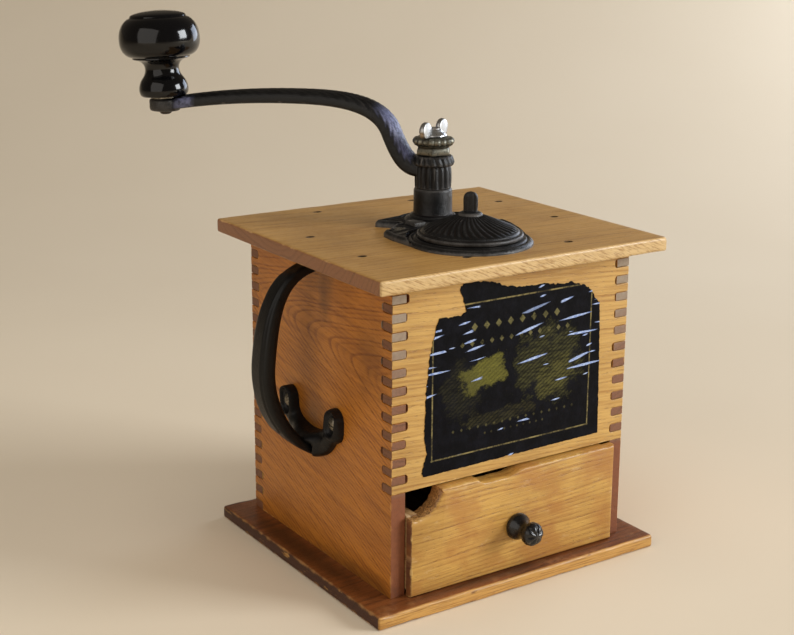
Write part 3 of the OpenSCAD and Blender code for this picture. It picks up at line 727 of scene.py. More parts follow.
def iron(name, base, gloss, wear, worn=0.5, grit=0.4, rust=0.15, metallic=0.0, coat=0.3, specular=0.4,
         extra=None):
    """Cast iron under old black: satin, gritty, rubbed through on its high points.

    extra(graph, colour) may add marks of the casting's own.
    """
    g = Graph(name, Specular_IOR_Level=specular, Coat_Weight=coat, Coat_Roughness=0.18)
    fine = g.noise(g.mm, 1.6, 3.0, 0.6)
    broad = g.noise(g.mm, 0.12, 3.0, 0.6)
    relief_at = g.pointiness() + (fine - 0.5) * 0.05
    high, low = relief_at.step(0.515, 0.57), relief_at.fall(0.44, 0.49)
    colour = g.mix(broad.step(0.35, 0.7), base, shade(base, 1.5, 0.001))
    colour = g.mix(high * broad.step(0.3, 0.6, 0.3, 1.0) * worn, colour, wear)
    # Sparse bright specks where grit was rubbed
    speck = g.noise(g.mm, 2.3, 2.0, 0.7).step(0.64, 0.7) * broad.step(0.4, 0.6)
    colour = g.mix(speck * worn * 0.5, colour, wear)
    colour = g.mix(low * rust, colour, srgb(70, 48, 32))
    if extra:
        colour = extra(g, colour)
    roughness = (fine - 0.5) * 0.25 + broad * 0.2 + gloss + low * 0.2
    height = fine * 0.7 + g.noise(g.mm, 0.5) * 0.6
    return g.finish(colour, roughness, height, depth_mm=grit, strength=0.6, metallic=metallic)


def painted_arm_sheen(g, colour):
    """Painted bluish sheen of the window on the crank's arm, on its inner face near the hub and on its flanks
    beside the eye.
    """
    azimuth = math.radians(CRANK_AZ)
    out = Vector((math.cos(azimuth), math.sin(azimuth), 0))
    side = (-out.y, out.x, 0)
    along = g.dot(g.vector("SUBTRACT", g.mm, (0, AXIS_Y, 0)), tuple(out))
    fibres = g.noise(g.join(along * 0.5, g.dot(g.mm, side) * 1.6, g.xyz(g.mm)[2] * 0.5), 0.8, 3.0, 0.7)
    inner = g.facing(*(Vector((0, 0, 0.4)) - out * 0.92)).step(0.3, 0.75)
    inner = inner * along.step(9, 13) * along.fall(22, 34)
    flank = g.facing(*side).abs().step(0.5, 0.8) * along.step(136, 141) * along.fall(146, 151)
    # The pale blue mixed in here is a painted reflection of the window, streaked along the arm
    return g.mix(inner.max(flank) * fibres.step(0.3, 0.62, 0.2, 0.85), colour, srgb(112, 116, 150))


def bare_metal(name, bright, dull, gloss, grime=0.5, metallic=1.0, lathe=0.0):
    """Plain or plated metal with grime in its hollows."""
    g = Graph(name, Specular_IOR_Level=0.5)
    fine = g.noise(g.mm, 1.1, 3.0, 0.6)
    turned_lines = g.noise(g.join(0.0, 0.0, g.xyz(g.mm)[2]), 5.0, 1.0) * lathe
    spots = g.noise(g.mm, 0.45, 4.0, 0.65).step(0.48, 0.66)
    hollow = (g.pointiness() + (fine - 0.5) * 0.05).fall(0.45, 0.51)
    dirt = spots.max(hollow) * grime
    return g.finish(g.mix(dirt, bright, dull), dirt * 0.35 + fine * 0.12 + gloss, fine * 0.4 + turned_lines,
                    depth_mm=0.08, strength=0.5, metallic=metallic)


def lacquer():
    """Thick glossy black over turned wood, with fine scratches."""
    g = Graph("knob_lacquer", Specular_IOR_Level=0.3, Coat_Weight=0.22, Coat_Roughness=0.05)
    speck = g.noise(g.mm, 0.9, 4.0, 0.7).step(0.66, 0.74)
    wavy = g.noise(g.mm, 0.14)
    scratch = g.noise(g.vector("MULTIPLY", g.mm, (0.2, 2.2, 0.5)), 1.0, 2.0, 0.6).step(0.62, 0.7)
    roughness = wavy * 0.08 + speck * 0.2 + scratch * 0.1 + 0.08
    return g.finish(g.mix(speck * 0.3, srgb(6, 6, 8), srgb(46, 38, 32)), roughness, wavy * 0.5 - speck * 0.25,
                    depth_mm=0.1, strength=0.4)


def label_sheet():
    """Black glazed sheet: a thin gilt frame, faded patches, lozenge rows and painted pale-blue glints of the
    window on its wrinkles.
    """
    g = Graph("label_sheet", Specular_IOR_Level=0.07, Coat_Weight=0.02, Coat_Roughness=0.15)
    x, _, z = g.xyz(g.mm)
    flat = g.join(x, 0.0, z)
    worn = g.noise(flat, 0.12, 4.0, 0.65)
    fine = g.noise(flat, 1.2, 3.0, 0.6)
    black = g.mix(worn.step(0.4, 0.7), srgb(7, 8, 13), srgb(16, 17, 24))
    # Frame: upright lines at two places in x, level lines at two heights
    upright = (x + 52).abs().min((x - 50).abs()).fall(0.25, 0.5) * z.step(75.7, 76.3) * z.fall(155.8, 156.4)
    level = (z - 76.5).abs().min((z - 155.5).abs()).fall(0.25, 0.5) * x.step(-53, -52.2) * x.fall(50.2, 51)
    gilt = upright.max(level) * (worn + fine * 0.3).step(0.5, 0.78, 0.8, 0.08)
    colour = g.mix(gilt, black, srgb(158, 144, 96))
    # Faded patches, the first nearly four-cornered, with slanting hatching. A row is the centre, the
    # half sizes, the tilt in degrees, the outline's power, the tone and how much of it is left
    hatch = ((x * 0.3 - z * 0.44 + fine * 0.9).fract() - 0.5).abs().step(0.1, 0.3)
    banded = g.noise(g.join(x * 0.12, 0.0, z * 0.8), 1.0, 3.0, 0.6).step(0.36, 0.6, 0.3, 1.0)
    for cx, cz, half_x, half_z, tilt, power, tone, share in (
            (-20, 117, 15.5, 8.5, 14, 6, srgb(122, 118, 54), 0.95),
            (-34, 111, 14, 17, 0, 2, srgb(60, 58, 40), 0.55),
            (22, 116, 25, 23, -10, 2, srgb(80, 78, 46), 0.85),
            (26, 108, 17, 9, 30, 3, srgb(96, 92, 48), 0.7),
            (-8, 93, 28, 4.5, 4, 2, srgb(72, 68, 42), 0.6)):
        c, s = math.cos(math.radians(tilt)), math.sin(math.radians(tilt))
        du, dz = x - cx, z - cz
        along = (du * (c / half_x) + dz * (s / half_x)).abs()
        across = (dz * (c / half_z) - du * (s / half_z)).abs()
        far = (along**power + across**power) ** (1 / power)
        mask = (far + (worn - 0.5) * 1.7 + (fine - 0.5) * 0.5).step(0.72, 1.0, share, 0.0)
        square = power == 6
        mask = mask * hatch.math("MULTIPLY_ADD", *((0.25, 0.65) if square else (0.6, 0.3)))
        mask = mask * banded.max(0.8 if square else 0.0)
        colour = g.mix(mask * (fine * 0.9 + 0.45), colour, tone)
    # Rows of lozenges where the print was: height, half width, pitch, size and how much is left
    for row_z, half_w, pitch, size, share in ((143, 30, 7.6, 2.5, 0.5), (134.5, 38, 6.2, 1.8, 0.46),
                                              (89.5, 40, 5.2, 1.1, 0.22), (85.2, 20, 4.2, 0.9, 0.18)):
        u = ((x / pitch).fract() - 0.5).abs() * pitch
        lozenge = (u * 1.15 + (z - row_z).abs()).fall(size * 0.75, size) * x.abs().fall(half_w, half_w + 1)
        lozenge = lozenge * (worn + fine * 0.35).step(0.5, 0.74, 0.03, share)
        colour = g.mix(lozenge, colour, srgb(150, 142, 92))
    # Painted glints: pale blue-white reflections of the window on wrinkles, which rise a little to the right:
    # one lens in each stretched cell, of its own size
    slope, cell_u, cell_v = math.radians(6), 29.0, 5.4
    u, v = x * math.cos(slope) + z * math.sin(slope), z * math.cos(slope) - x * math.sin(slope)
    at = g.join(u / cell_u, 0.0, v / cell_v)
    long, wide, pick = g.xyz(g.cells(at, "Color"))
    off = g.vector("MULTIPLY", g.vector("SUBTRACT", at, g.cells(at, "Position")), (cell_u, 0, cell_v))
    off_u, _, off_v = g.xyz(off)
    off_v = off_v - off_u * ((wide - 0.5) * 0.3)
    half_u, half_v = long * long * 14.0 + 2.2, wide * 0.4 + long * 0.55 + 0.2
    lens = (off_u / half_u).abs() ** 1.4 + (off_v / half_v).abs() ** 1.4
    torn = g.noise(g.join(u * 0.35, 0.0, v * 2.0), 1.2, 3.0, 0.7)
    # They crowd the upper left and the right side
    crowd = (x.step(-46, -8, 0.55, 0.0) * z.step(92, 124)).max(x.step(24, 44, 0.0, 0.55) * z.step(86, 108))
    painted_glint = (lens + (torn - 0.5) * 1.3).fall(0.55, 0.95) * (pick + crowd).step(0.8, 0.84)
    colour = g.mix(painted_glint, colour, g.mix(torn.step(0.3, 0.7), srgb(96, 122, 186), srgb(206, 222, 252)))
    # The glints' lenses also raise the bump a little, as the wrinkles under them
    height = g.noise(g.join(u, 0.0, v), 0.35, 3.0, 0.6) + painted_glint * 0.6 + fine * 0.25
    return g.finish(colour, worn * 0.2 + 0.26 + gilt * 0.2, height, depth_mm=0.4, strength=0.5)


# ---------------------------------------------------------------- wooden pieces

def finger_slots(bottom, first, rng):
    """(low, high) of each finger slot, top first, a little uneven as hand fitting leaves them."""
    half = FINGER_PITCH / 2
    slots = []
    top = WALL_Z1 - first * half
    while top > bottom + 1:
        low = top - half if top - half > bottom + 1 else bottom
        slots.append((low - rng.uniform(0.03, 0.16), top + rng.uniform(0.03, 0.16)))
        top -= FINGER_PITCH
    return slots


def slotted_edge(edge, inward, slots, depth, z_start, z_end, rng, radius=1.9):
    """Points up one slotted edge of a wall, from z_start to z_end. inward is +1 or -1."""
    quarter = [math.radians(a) for a in range(0, 91, 18)]
    reach = inward * radius
    points = [(edge, z_start)]
    for low, high in sorted(slots):
        deep = edge + inward * (depth + rng.uniform(0.1, 1.35) ** 1.6)
        c = deep - reach
        # A slot that is open at an end of the wall has no corners there
        if low > z_start:
            points.append((edge, low))
            points += [(c + reach * math.sin(t), low + radius - radius * math.cos(t)) for t in quarter]
        else:
            points = [(deep, z_start)]
        if high < z_end:
            points += [(c + reach * math.cos(t), high - radius + radius * math.sin(t)) for t in quarter]
            points.append((edge, high))
        else:
            points.append((deep, z_end))
    if points[-1][1] < z_end - 1e-6:
        points.append((edge, z_end))
    return points


def side_board(node, side, seed, material):
    rng = random.Random(seed)
    front = slotted_edge(-CASE_Y + RECESS, 1, finger_slots(FRONT_Z0, 0, rng), WALL_T, WALL_Z0, WALL_Z1, rng)
    back = slotted_edge(CASE_Y - RECESS, -1, finger_slots(WALL_Z0, 0, rng), WALL_T, WALL_Z0, WALL_Z1, rng)
    near, far = sorted((side * (CASE_X - WALL_T), side * CASE_X))
    shell = prism(front + back[::-1], lambda y, z, x: (x, y, z), near, far)
    return mesh_piece(node + "_board", node, [shell], material, bevel=WALL_BEVEL)


def end_board(node, side, bottom, seed, material):
    rng = random.Random(seed)
    slots = finger_slots(bottom, 1, rng)
    depth = WALL_T - 0.3
    left = slotted_edge(-CASE_X + RECESS, 1, slots, depth, bottom, WALL_Z1, rng, radius=1.6)
    right = slotted_edge(CASE_X - RECESS, -1, slots, depth, bottom, WALL_Z1, rng, radius=1.6)
    near, far = sorted((side * (CASE_Y - WALL_T), side * CASE_Y))
    shell = prism(left + right[::-1], lambda x, z, y: (x, y, z), near, far)
    return mesh_piece(node + "_board", node, [shell], material, bevel=WALL_BEVEL)


def top_board_piece(material):
    board = plank("top_board", (1.3, 1.0, 1.0, 1.4), seed=4, wear=0.25)
    piece = mesh_piece("top_board_plank", "top_board", [board], material)
    through, above = TOP_Z - 12, TOP_Z + 1
    cutters = [prism(egg_outline(), place_xyz, through, above + 3)]
    rng = random.Random(9)
    for x, y in NAILS_AT:
        pit = [(x + (2.3 + rng.uniform(-0.3, 0.4)) * math.cos(a),
                y + (1.6 + rng.uniform(-0.25, 0.3)) * math.sin(a)) for a in angles_round(18)]
        cutters.append(prism(pit, place_xyz, TOP_Z - 0.55, above))
    for x, y in PLATE_SCREWS_AT:
        p = PLATE @ Vector((x, y, 0))
        cutters.append(prism(circle(p.x, p.y, 2.4, 16), place_xyz, through, above))
    cut(piece, cutters)
    return piece


def egg_outline():
    """The hole in the top board: two discs and what wraps them, from the spindle to the fill hole."""
    r1, r2, d = 13.0, 20.5, FILL_OFFSET
    a = math.degrees(math.asin((r2 - r1) / d))
    upper = arc(0, 0, r1, a, 180 - a, 16)
    lower = arc(0, -d, r2, 180 - a, 360 + a, 28)
    return [tuple((PLATE @ Vector((u, v, 0)))[:2]) for u, v in upper + lower]


def cut(piece, shells):
    """Cuts closed shells out of a piece, with the result applied."""
    cutter = put_in_scene("cutter", shells_mesh("cutter", shells))
    modifier = piece.modifiers.new("Cut", "BOOLEAN")
    modifier.operation, modifier.solver, modifier.object = "DIFFERENCE", "EXACT", cutter
    bpy.context.view_layer.update()
    made = bpy.data.meshes.new_from_object(piece.evaluated_get(bpy.context.evaluated_depsgraph_get()))
    piece.modifiers.clear()
    piece.data = made
    made.set_sharp_from_angle(angle=math.radians(32))
    bpy.data.objects.remove(cutter)


def base_board_piece(material):
    board = plank("base_board", (1.0, 1.0, 1.6, 1.6), seed=11, wear=0.45)
    return mesh_piece("base_board_plank", "base_board", [board], material)


# ---------------------------------------------------------------- iron and metal pieces

def hopper_top_piece(material):
    """Fishtail plate with a round flange, and the post on its foot."""
    loop = cad_loop("hopper_top", 2, PLATE_Z, PLATE)
    flange_r, seat_r, rim_r = 33.0, 28.9, 30.6

    def height(u, v, edge):
        z = 2.9 - 0.9 * (1 - smooth(0, 1.1, edge)) ** 2
        d = math.hypot(u, v + FILL_OFFSET)
        if d < flange_r + 0.2:
            # Rounded rim, a groove, a raised step and the seat
            z = 2.6 - 2.0 * max(0, (d - rim_r) / 2.6) ** 2
            z -= 0.5 * bell(d, 29.9, 0.45)
            z += 0.6 * (1 - smooth(seat_r, seat_r + 0.6, d))
        else:
            fan = math.atan2(v + 8, abs(u) - 2)
            ridges = (0.5 + 0.5 * math.cos(fan * 34)) ** 2
            ridges *= smooth(2.6, 4.2, edge) * smooth(13, 19, math.hypot(u, v + 6))
            z += 0.9 * bell(edge, 1.7, 0.8) + 0.42 * ridges
        return TOP_Z + z

    holes = [circle(x, y, 3.15, 24) for x, y in PLATE_SCREWS_AT]
    holes.append(circle(0, -FILL_OFFSET, 19.5, 60))
    plate = relief(loop, height, TOP_Z, place_xyz, holes, pitch=0.62)
    foot = revolve([
        (15.2, TOP_Z + 2), (15.6, PLATE_Z), (15.5, 181.8), (14.9, 182.6), (13.6, 183.2), (12.9, 183.5),
        (12.7, 183.9), (12.3, 184.5), (11.4, 184.9), (10.75, 185.2), (10.6, 185.8), (10.55, 192),
        (10.5, 197.6), (10.3, 198.4), (9.8, POST_Z), (5.1, POST_Z),
    ])
    # A low block beside the foot, square with the case: its corners, drawn in as it rises
    unturned = Matrix.Rotation(math.radians(-PLATE_TURN), 4, "Z")
    lug = ring_shell([
        [unturned @ Vector((x + i * sx, y + i * sy, z)) for x, y, sx, sy in (
            (-18.4, -9.9, 1, 1), (-11, -9.9, -1, 1), (-11, -0.9, -1, -1), (-18.4, -0.9, 1, -1))]
        for z, i in ((PLATE_Z, 0), (182.4, 0.1), (182.9, 0.35), (183.1, 0.9))
    ])
    shells = [plate, foot, lug]
    return mesh_piece("hopper_top_casting", "hopper_top", shells, material, matrix=PLATE, sharp=50)


def lid_piece(material):
    """Domed lid with swirling flutes, a stepped rim and a fluted finger tab."""
    z0 = 181.9
    flutes = 36
    n = flutes * 8
    rows = [(23.0, -0.55), (27.2, -0.55), (27.7, -0.2), (27.8, 0.5), (27.7, 1.3), (27.2, 1.7), (26.2, 1.75),
            (25.7, 1.9), (25.5, 2.4), (25.3, 2.75), (24.9, 2.95)]
    dome = bezier([(24.9, 2.95), (18, 5.6), (12, 8.6), (6.6, 10.4)], 30)
    for i, p in enumerate(dome[1:]):
        # The flutes swing one way near the rim and back towards the top
        t = (i + 1) / len(dome)
        amp = 0.6 * smooth(0, 0.12, t) * (1 - 0.65 * t)
        rows.append((p[0], p[1], flutes, 0, amp, 5.2 * math.sin(2.6 * t) + 6.0 * t * t))
    rows += [(6.3, 10.7), (5.9, 11.0), (4.8, 11.3), (2.4, 11.5), (0.6, 11.55)]
    # The underside, then the rim again: the shell closes on itself instead of having two ends
    rows += [(0.6, 8.4), (8, 7.2), (15, 4.4), (22.4, 0.6)]
    points, faces = revolve(raised(rows, z0), n)
    last = len(points) - n
    faces = faces[:-2] + [[last + j, last + (j + 1) % n, (j + 1) % n, j] for j in range(n)]
    # Upright tab, flat and round-topped, with three grooves down each face
    turn = Matrix.Rotation(math.radians(-32), 4, "Z")
    tab_rows, groove_pitch = 26, 2.1
    rings = []
    for k in range(tab_rows):
        t = k / (tab_rows - 1)
        top = max(0.0, (t - 0.72) / 0.28)
        half_w = (3.65 + 0.15 * smooth(0.15, 0.6, t)) * math.sqrt(max(1 - top**2.2, 0.004))
        half_t = (2.3 - 0.35 * t) * math.sqrt(max(1 - top**3, 0.02))
        ring = []
        for a in angles_round(56):
            u = half_w * signed_power(math.cos(a), 0.62)
            v = half_t * signed_power(math.sin(a), 0.62)
            if abs(math.sin(a)) > 0.35:
                groove = (0.5 + 0.5 * math.cos(u * 2 * math.pi / groove_pitch)) ** 2
                groove *= 0.4 * (1 - smooth(0.75, 0.92, t))
                v -= math.copysign(min(groove, abs(v)), v)
            ring.append(turn @ Vector((u, v, z0 + 9.6 + 13.3 * t)))
        rings.append(ring)
    collar = [(0.5, 10.6), (6.4, 10.6), (6.2, 11.5), (5.2, 12.1), (4.2, 12.5), (0.5, 12.6)]
    collar = revolve(raised(collar, z0), 48)
    shells = [(points, faces), collar, ring_shell(rings)]
    return mesh_piece("lid_casting", "lid", shells, material, matrix=LID, sharp=60)


def crank_piece(material):
    """Fluted hub, ribbed ring and the leaf-veined arm out to its eye."""
    flutes, ribs = 16, 20
    hub = revolve(raised([
        (5.2, 0), (9.3, 0), (9.7, 0.25, flutes, 0.2, 0, 0), (9.6, 0.7, flutes, 0.4, 0, 0),
        (9.65, 4, flutes, 0.46, 0, 0), (9.6, 8, flutes, 0.46, 0, 0), (9.4, 11, flutes, 0.42, 0, 0),
        (9.2, 12, flutes, 0.2, 0, 0), (9.3, 12.2), (10.6, 12.25), (11.1, 12.9, ribs, 0.14, 0, 0.5),
        (11.2, 13.8, ribs, 0.34, 0, 0.8), (10.9, 15.0, ribs, 0.36, 0, 1.4), (10.5, 16.2, ribs, 0.34, 0, 2.2),
        (10.3, 17.1, ribs, 0.2, 0, 2.8), (9.6, 17.6), (8.6, 17.7), (4.9, 17.7),
    ], POST_Z + 0.3), 320)
    # Three curves as in part.scad, with its number of points on each and the steps taken here
    runs = [([(7, 11.3), (14.5, 11.3), (18.4, 18), (23.3, 29.5)], 10, 54),
            ([(23.3, 29.5), (28.8, 42.5), (45, 46.4), (70, 46.4)], 10, 100),
            ([(70, 46.4), (100, 46.4), (130, 43.4), (CRANK_LEN, 38)], 8, 110)]
    total = sum(points for _, points, _ in runs)
    line, share, before = [], [], 0
    for curve, points, steps in runs:
        for i, (x, z) in enumerate(bezier(curve, steps)):
            if i or not line:
                line.append((x, z + POST_Z))
                share.append((before + points * i / steps) / total)
        before += points
    path, normals, lengths = planar_path(line)
    root_x, root_half_w, vein_pitch = 24, 8.4, 4.4

    def section(i):
        half_t = (10.5 - 3.5 * share[i]) / 2
        x, s = path[i].x, lengths[i]
        half_w = root_half_w - 3.0 * smooth(0, 1, (x - root_x) / (CRANK_LEN - root_x))
        if x <= root_x:
            half_w = root_half_w - 1.2 * (root_x - x) / 17
        # The veins are deep near the hub and fade out along the arm
        depth = 0.5 - 0.28 * smooth(30, 90, s)
        # A vaulted, veined upper face stands over a narrow rim
        rim = -0.4 * half_t
        out = []
        for a in angles_round(56, 0.5):
            c, d = math.cos(a), math.sin(a)
            if d > 0:
                u, v = half_w * signed_power(c, 0.8), rim + (half_t - rim) * d**0.75
                veins = (0.5 + 0.5 * math.cos((s * 0.75 + abs(u) * 2.2) * 2 * math.pi / vein_pitch)) ** 1.5
                e = abs(u) / half_w
                v -= depth * veins * smooth(0.06, 0.2, e) * (1 - smooth(0.93, 1.0, e))
                v += 0.25 * bell(u, 0, 0.9)
            else:
                u, v = half_w * signed_power(c, 0.42), rim - (half_t + rim) * abs(d) ** 0.6
            if abs(c) > 0.5:
                u -= math.copysign(0.07 * (1 + noise.noise((s * 0.35, v * 0.9, 4.0))), u)
            out.append((u, v))
        return out[::-1]

    arm = sweep(path, normals, section)
    eye = revolve(raised([(3.0, 34.7), (7.7, 34.7), (8.3, 35.1), (8.6, 36.1), (8.6, 40.2), (8.3, 40.85),
                          (7.8, EYE_TOP), (3.0, EYE_TOP)], POST_Z), 72)
    eye = ([Vector(p) + Vector((CRANK_LEN, 0, 0)) for p in eye[0]], eye[1])
    return mesh_piece("crank_casting", "crank", [hub, arm, eye], material, matrix=CRANK, sharp=55)


def knob_piece(material):
    """Turned knob: waisted foot, ball with a step under it and a disc on top."""
    rows = [(2.96, 0), (10.9, 0)]
    for curve, steps in (
            ([(11.9, 0.1), (14.2, 0.6), (14.6, 6.2), (11.5, 10.2)], 12),
            ([(11.1, 10.7), (8.8, 13.8), (8.6, 18.0), (12.4, 20.0)], 12),
            ([(13.2, 20.4), (14.4, 20.7), (15.4, 20.9), (16.0, 21.3)], 0),
            ([(16.4, 22.1), (20.4, 23.1), (22.4, 26.8), (22.4, 31.4)], 14),
            ([(22.4, 32.0), (22.4, 37.2), (20.3, 41.4), (16.8, 43.4)], 14),
            ([(16.0, 43.5), (15.7, 43.7), (15.6, 44.6), (15.2, 45.0)], 4),
            ([(14.6, 45.4), (12, 46.7), (6, 47.4), (1.0, 47.5)], 8)):
        # The step under the ball is of straight lines
        rows += bezier(curve, steps) if steps else [*curve, (16.0, 21.9)]
    turning = revolve(raised(rows, 1.6), 112)
    return mesh_piece("crank_knob_turning", "crank_knob", [turning], material, matrix=KNOB, sharp=50)


def crown_nut_piece(material):
    """Crown nut: hexagonal neck, flared collar and a ring of beads."""
    z0 = POST_Z + 18.3
    angles = angles_round(216)
    # How far a hexagon stands out past the circle in it, and a little more
    flats = [math.cos(math.pi / 6) / math.cos(a % (math.pi / 3) - math.pi / 6) * 1.02 - 1 for a in angles]

    def ring(radii, z):
        return [(r * math.cos(a), r * math.sin(a), z0 + z) for a, r in zip(angles, radii)]

    # Each row is radius, height and how hexagonal it is
    rings = [ring([r * (1 + hexed * f) for f in flats], z) for r, z, hexed in (
        (4.0, 0.0, 0), (9.3, 0.0, 1), (9.8, 0.5, 1), (9.6, 2.9, 1), (9.0, 3.6, 0.7), (8.7, 4.1, 0.3),
        (9.4, 4.8, 0), (10.4, 5.3, 0))]
    for k in range(9):
        t = math.pi * (k / 8) - math.pi / 2
        r, z = 9.6 + 1.25 * math.cos(t), 7.3 + 1.7 * math.sin(t)
        beaded = []
        for a in angles:
            f = beads(18 * a + 1.2)
            out = r + 0.5 * math.cos(t) * f
            beaded.append((out * math.cos(a), out * math.sin(a), z0 + z + 0.25 * f * math.sin(t)))
        rings.append(beaded)
    rings += [ring([r] * len(angles), z) for r, z in ((8.7, 9.1), (8.2, 9.35), (6.5, 9.6), (3.7, 9.65))]
    crown = ring_shell(rings)
    return mesh_piece("crown_nut_casting", "adjusting_nut", [crown], material, matrix=PLATE, sharp=50)


def wing_nut_piece(material):
    """Low cone with two flat round lobes, each on a short arm."""
    z0 = POST_Z + 28.3
    lobe_x, lobe_r, half_t, edge_r = 9.4, 5.0, 1.35, 0.7
    shells = [revolve(raised([(3.6, 0), (6.8, 0), (7.2, 0.3), (7.1, 0.8), (5.6, 1.8), (4.6, 2.8), (4.3, 3.5),
                              (4.0, 3.7), (3.5, 3.7)], z0), 72)]
    for side in (-1, 1):
        lobe, arm = [], []
        for t in (math.pi * k / 8 for k in range(9)):
            r, w = lobe_r - edge_r + edge_r * math.sin(t), -half_t * math.cos(t)
            ring = []
            for a in angles_round(40):
                c, s = math.cos(a), math.sin(a)
                # Narrower and thicker below its middle, and nowhere below the cone's foot
                x = side * lobe_x + r * c * (1.0 if s > 0 else 0.9)
                ring.append((x, w * (1.15 - 0.12 * s), z0 + max(3.3 + r * s, 0.05)))
            lobe.append(ring)
        for t in (k / 7 for k in range(8)):
            x, h, w = side * (3.2 + 4.6 * t), 2.9 - 0.4 * t, 1.9 - 0.7 * t
            arm.append([(x, w * math.cos(a), z0 + 0.1 + h / 2 * (1 + math.sin(a))) for a in angles_round(24)])
        shells += [ring_shell(lobe), ring_shell(arm)]
    return mesh_piece("wing_nut_casting", "wing_nut", shells, material, matrix=WING_NUT, sharp=50)


def carry_handle_piece(material):
    """Bowed strap with a raised panel, and the anchor-shaped foot with its two lugs."""
    line = []
    for curve in ([(-76, 166.4), (-96, 163.5), (-104, 149), (-106.6, 116)],
                  [(-106.6, 116), (-108, 94), (-96, 74), (-77.5, 64.5)]):
        line += bezier(curve, 70)[(1 if line else 0):]
    path, normals, lengths = planar_path(line)
    normals = [n if n.x < 0.2 else -n for n in normals]
    total = lengths[-1]
    panel_middle, panel_half, panel_r = total * 0.46, 39.6, 4.9

    def section(i):
        s = lengths[i]
        # Widest halfway, thinner where it goes into the foot
        upper = 1 - smooth(0, 55, s)
        half_w = 7.6 - 2.4 * upper - 0.9 * smooth(total - 40, total, s)
        half_t = 4.3 - 1.3 * upper - 1.5 * smooth(total - 45, total, s)
        # The raised panel runs down the strap between two round ends
        beyond = max(0.0, abs(s - panel_middle) - panel_half)
        out = []
        for a in angles_round(60, 0.5):
            d = math.sin(a)
            u = half_w * signed_power(math.cos(a), 0.42)
            v = half_t * signed_power(d, 0.42 if d > 0 else 0.6)
            if d > 0:
                panel = panel_r - math.hypot(u, beyond)
                v += 0.55 * smooth(-0.2, 0.45, panel) - 0.4
                v += 0.3 * bell(u, 0, 0.8) * smooth(0.6, 1.6, panel)
            out.append((u, v))
        return out

    points, faces = sweep(path, normals, section)
    # Its upper end stays under the top board, and both ends reach just into the wall
    points = [(min(p.x, -CASE_X + 0.6), p.y + HANDLE_Y, min(p.z, 170.2)) for p in points]

    loop = cad_loop("carry_handle", 0, -CASE_X - 3, Matrix.Translation((0, HANDLE_Y, 0)))
    lug_y, lug_z, lug_r = 23.3, 86.0, 6.8

    def height(y, z, edge):
        """Fat round arms that swell towards the strap, and dished lugs with raised rims."""
        swell = 1 - smooth(2, 16, abs(y))
        h = 1.5 + (4.4 + 6.5 * swell) * math.sqrt(1 - (1 - min(edge / 6.4, 1)) ** 2)
        for ly in (-lug_y, lug_y):
            # A lug's dish is an oval that leans outward at its top
            dz = z - lug_z
            dy = (y - ly) * 0.97 + dz * math.copysign(0.14, -ly)
            d = math.hypot(dy, max(abs(dz) - 2.6, 0))
            if d < lug_r:
                rim = 5.6 - 0.35 * max(0.0, d - 4.9) ** 2
                dish = 2.9 + 0.9 * smooth(2.2, 4.2, d)
                lug = rim + (dish - rim) * (1 - smooth(3.7, 4.6, d))
                h += (lug - h) * (1 - smooth(5.2, lug_r, d))
        return -CASE_X - max(h, 0.35)

    foot = relief(loop, height, -CASE_X - 0.02, lambda y, z, x: (x, y + HANDLE_Y, z), pitch=0.55)
    return mesh_piece("carry_handle_forging", "carry_handle", [(points, faces), foot], material, sharp=60)


def drawer_knob_piece(material):
    """Flared base, thin neck and a head faced with a seven-leaf rosette."""
    leaves = 7
    rows = [(2.1, 0.0), (6.9, 0.0), (7.25, 0.5), (7.3, 1.6), (7.0, 2.6), (6.4, 3.5), (5.6, 4.5), (4.9, 5.6),
            (4.4, 6.8), (4.1, 8.0), (4.1, 9.0), (4.5, 9.8), (5.3, 10.5)]
    rows += [(r, z, leaves * 2, radial, 0, 0)
             for r, z, radial in ((6.0, 11.2, 0.06), (6.25, 12.2, 0.1), (6.25, 13.2, 0.1))]
    rows += [(r, z, leaves, radial, axial, 0) for r, z, radial, axial in (
        (6.05, 14.3, 0.1, 0.06), (5.5, 15.3, 0, 0.22), (4.7, 16.0, 0, 0.34), (3.7, 16.5, 0, 0.4),
        (2.7, 16.85, 0, 0.34), (1.8, 17.05, 0, 0.2))]
    rows += [(1.2, 17.3), (0.5, 17.5)]
    knob = revolve(rows, 140)
    return mesh_piece("drawer_knob_casting", "drawer_knob", [knob], material, matrix=DRAWER_KNOB, sharp=60)


def rivet_piece(material):
    """The knob's rivet: its worn end stands out under the eye."""
    pin = revolve([(0.4, -8.7), (2.0, -8.6), (2.9, -8.2), (3.3, -7.7), (3.25, -7.3), (2.9, -7.1),
                   (2.88, 37.9), (4.7, 38.1), (5.0, 38.6), (4.9, 39.6), (4.2, 40.0), (0.4, 40.0)], 40)
    return mesh_piece("knob_rivet_pin", "knob_rivet", [pin], material, matrix=KNOB, sharp=50)


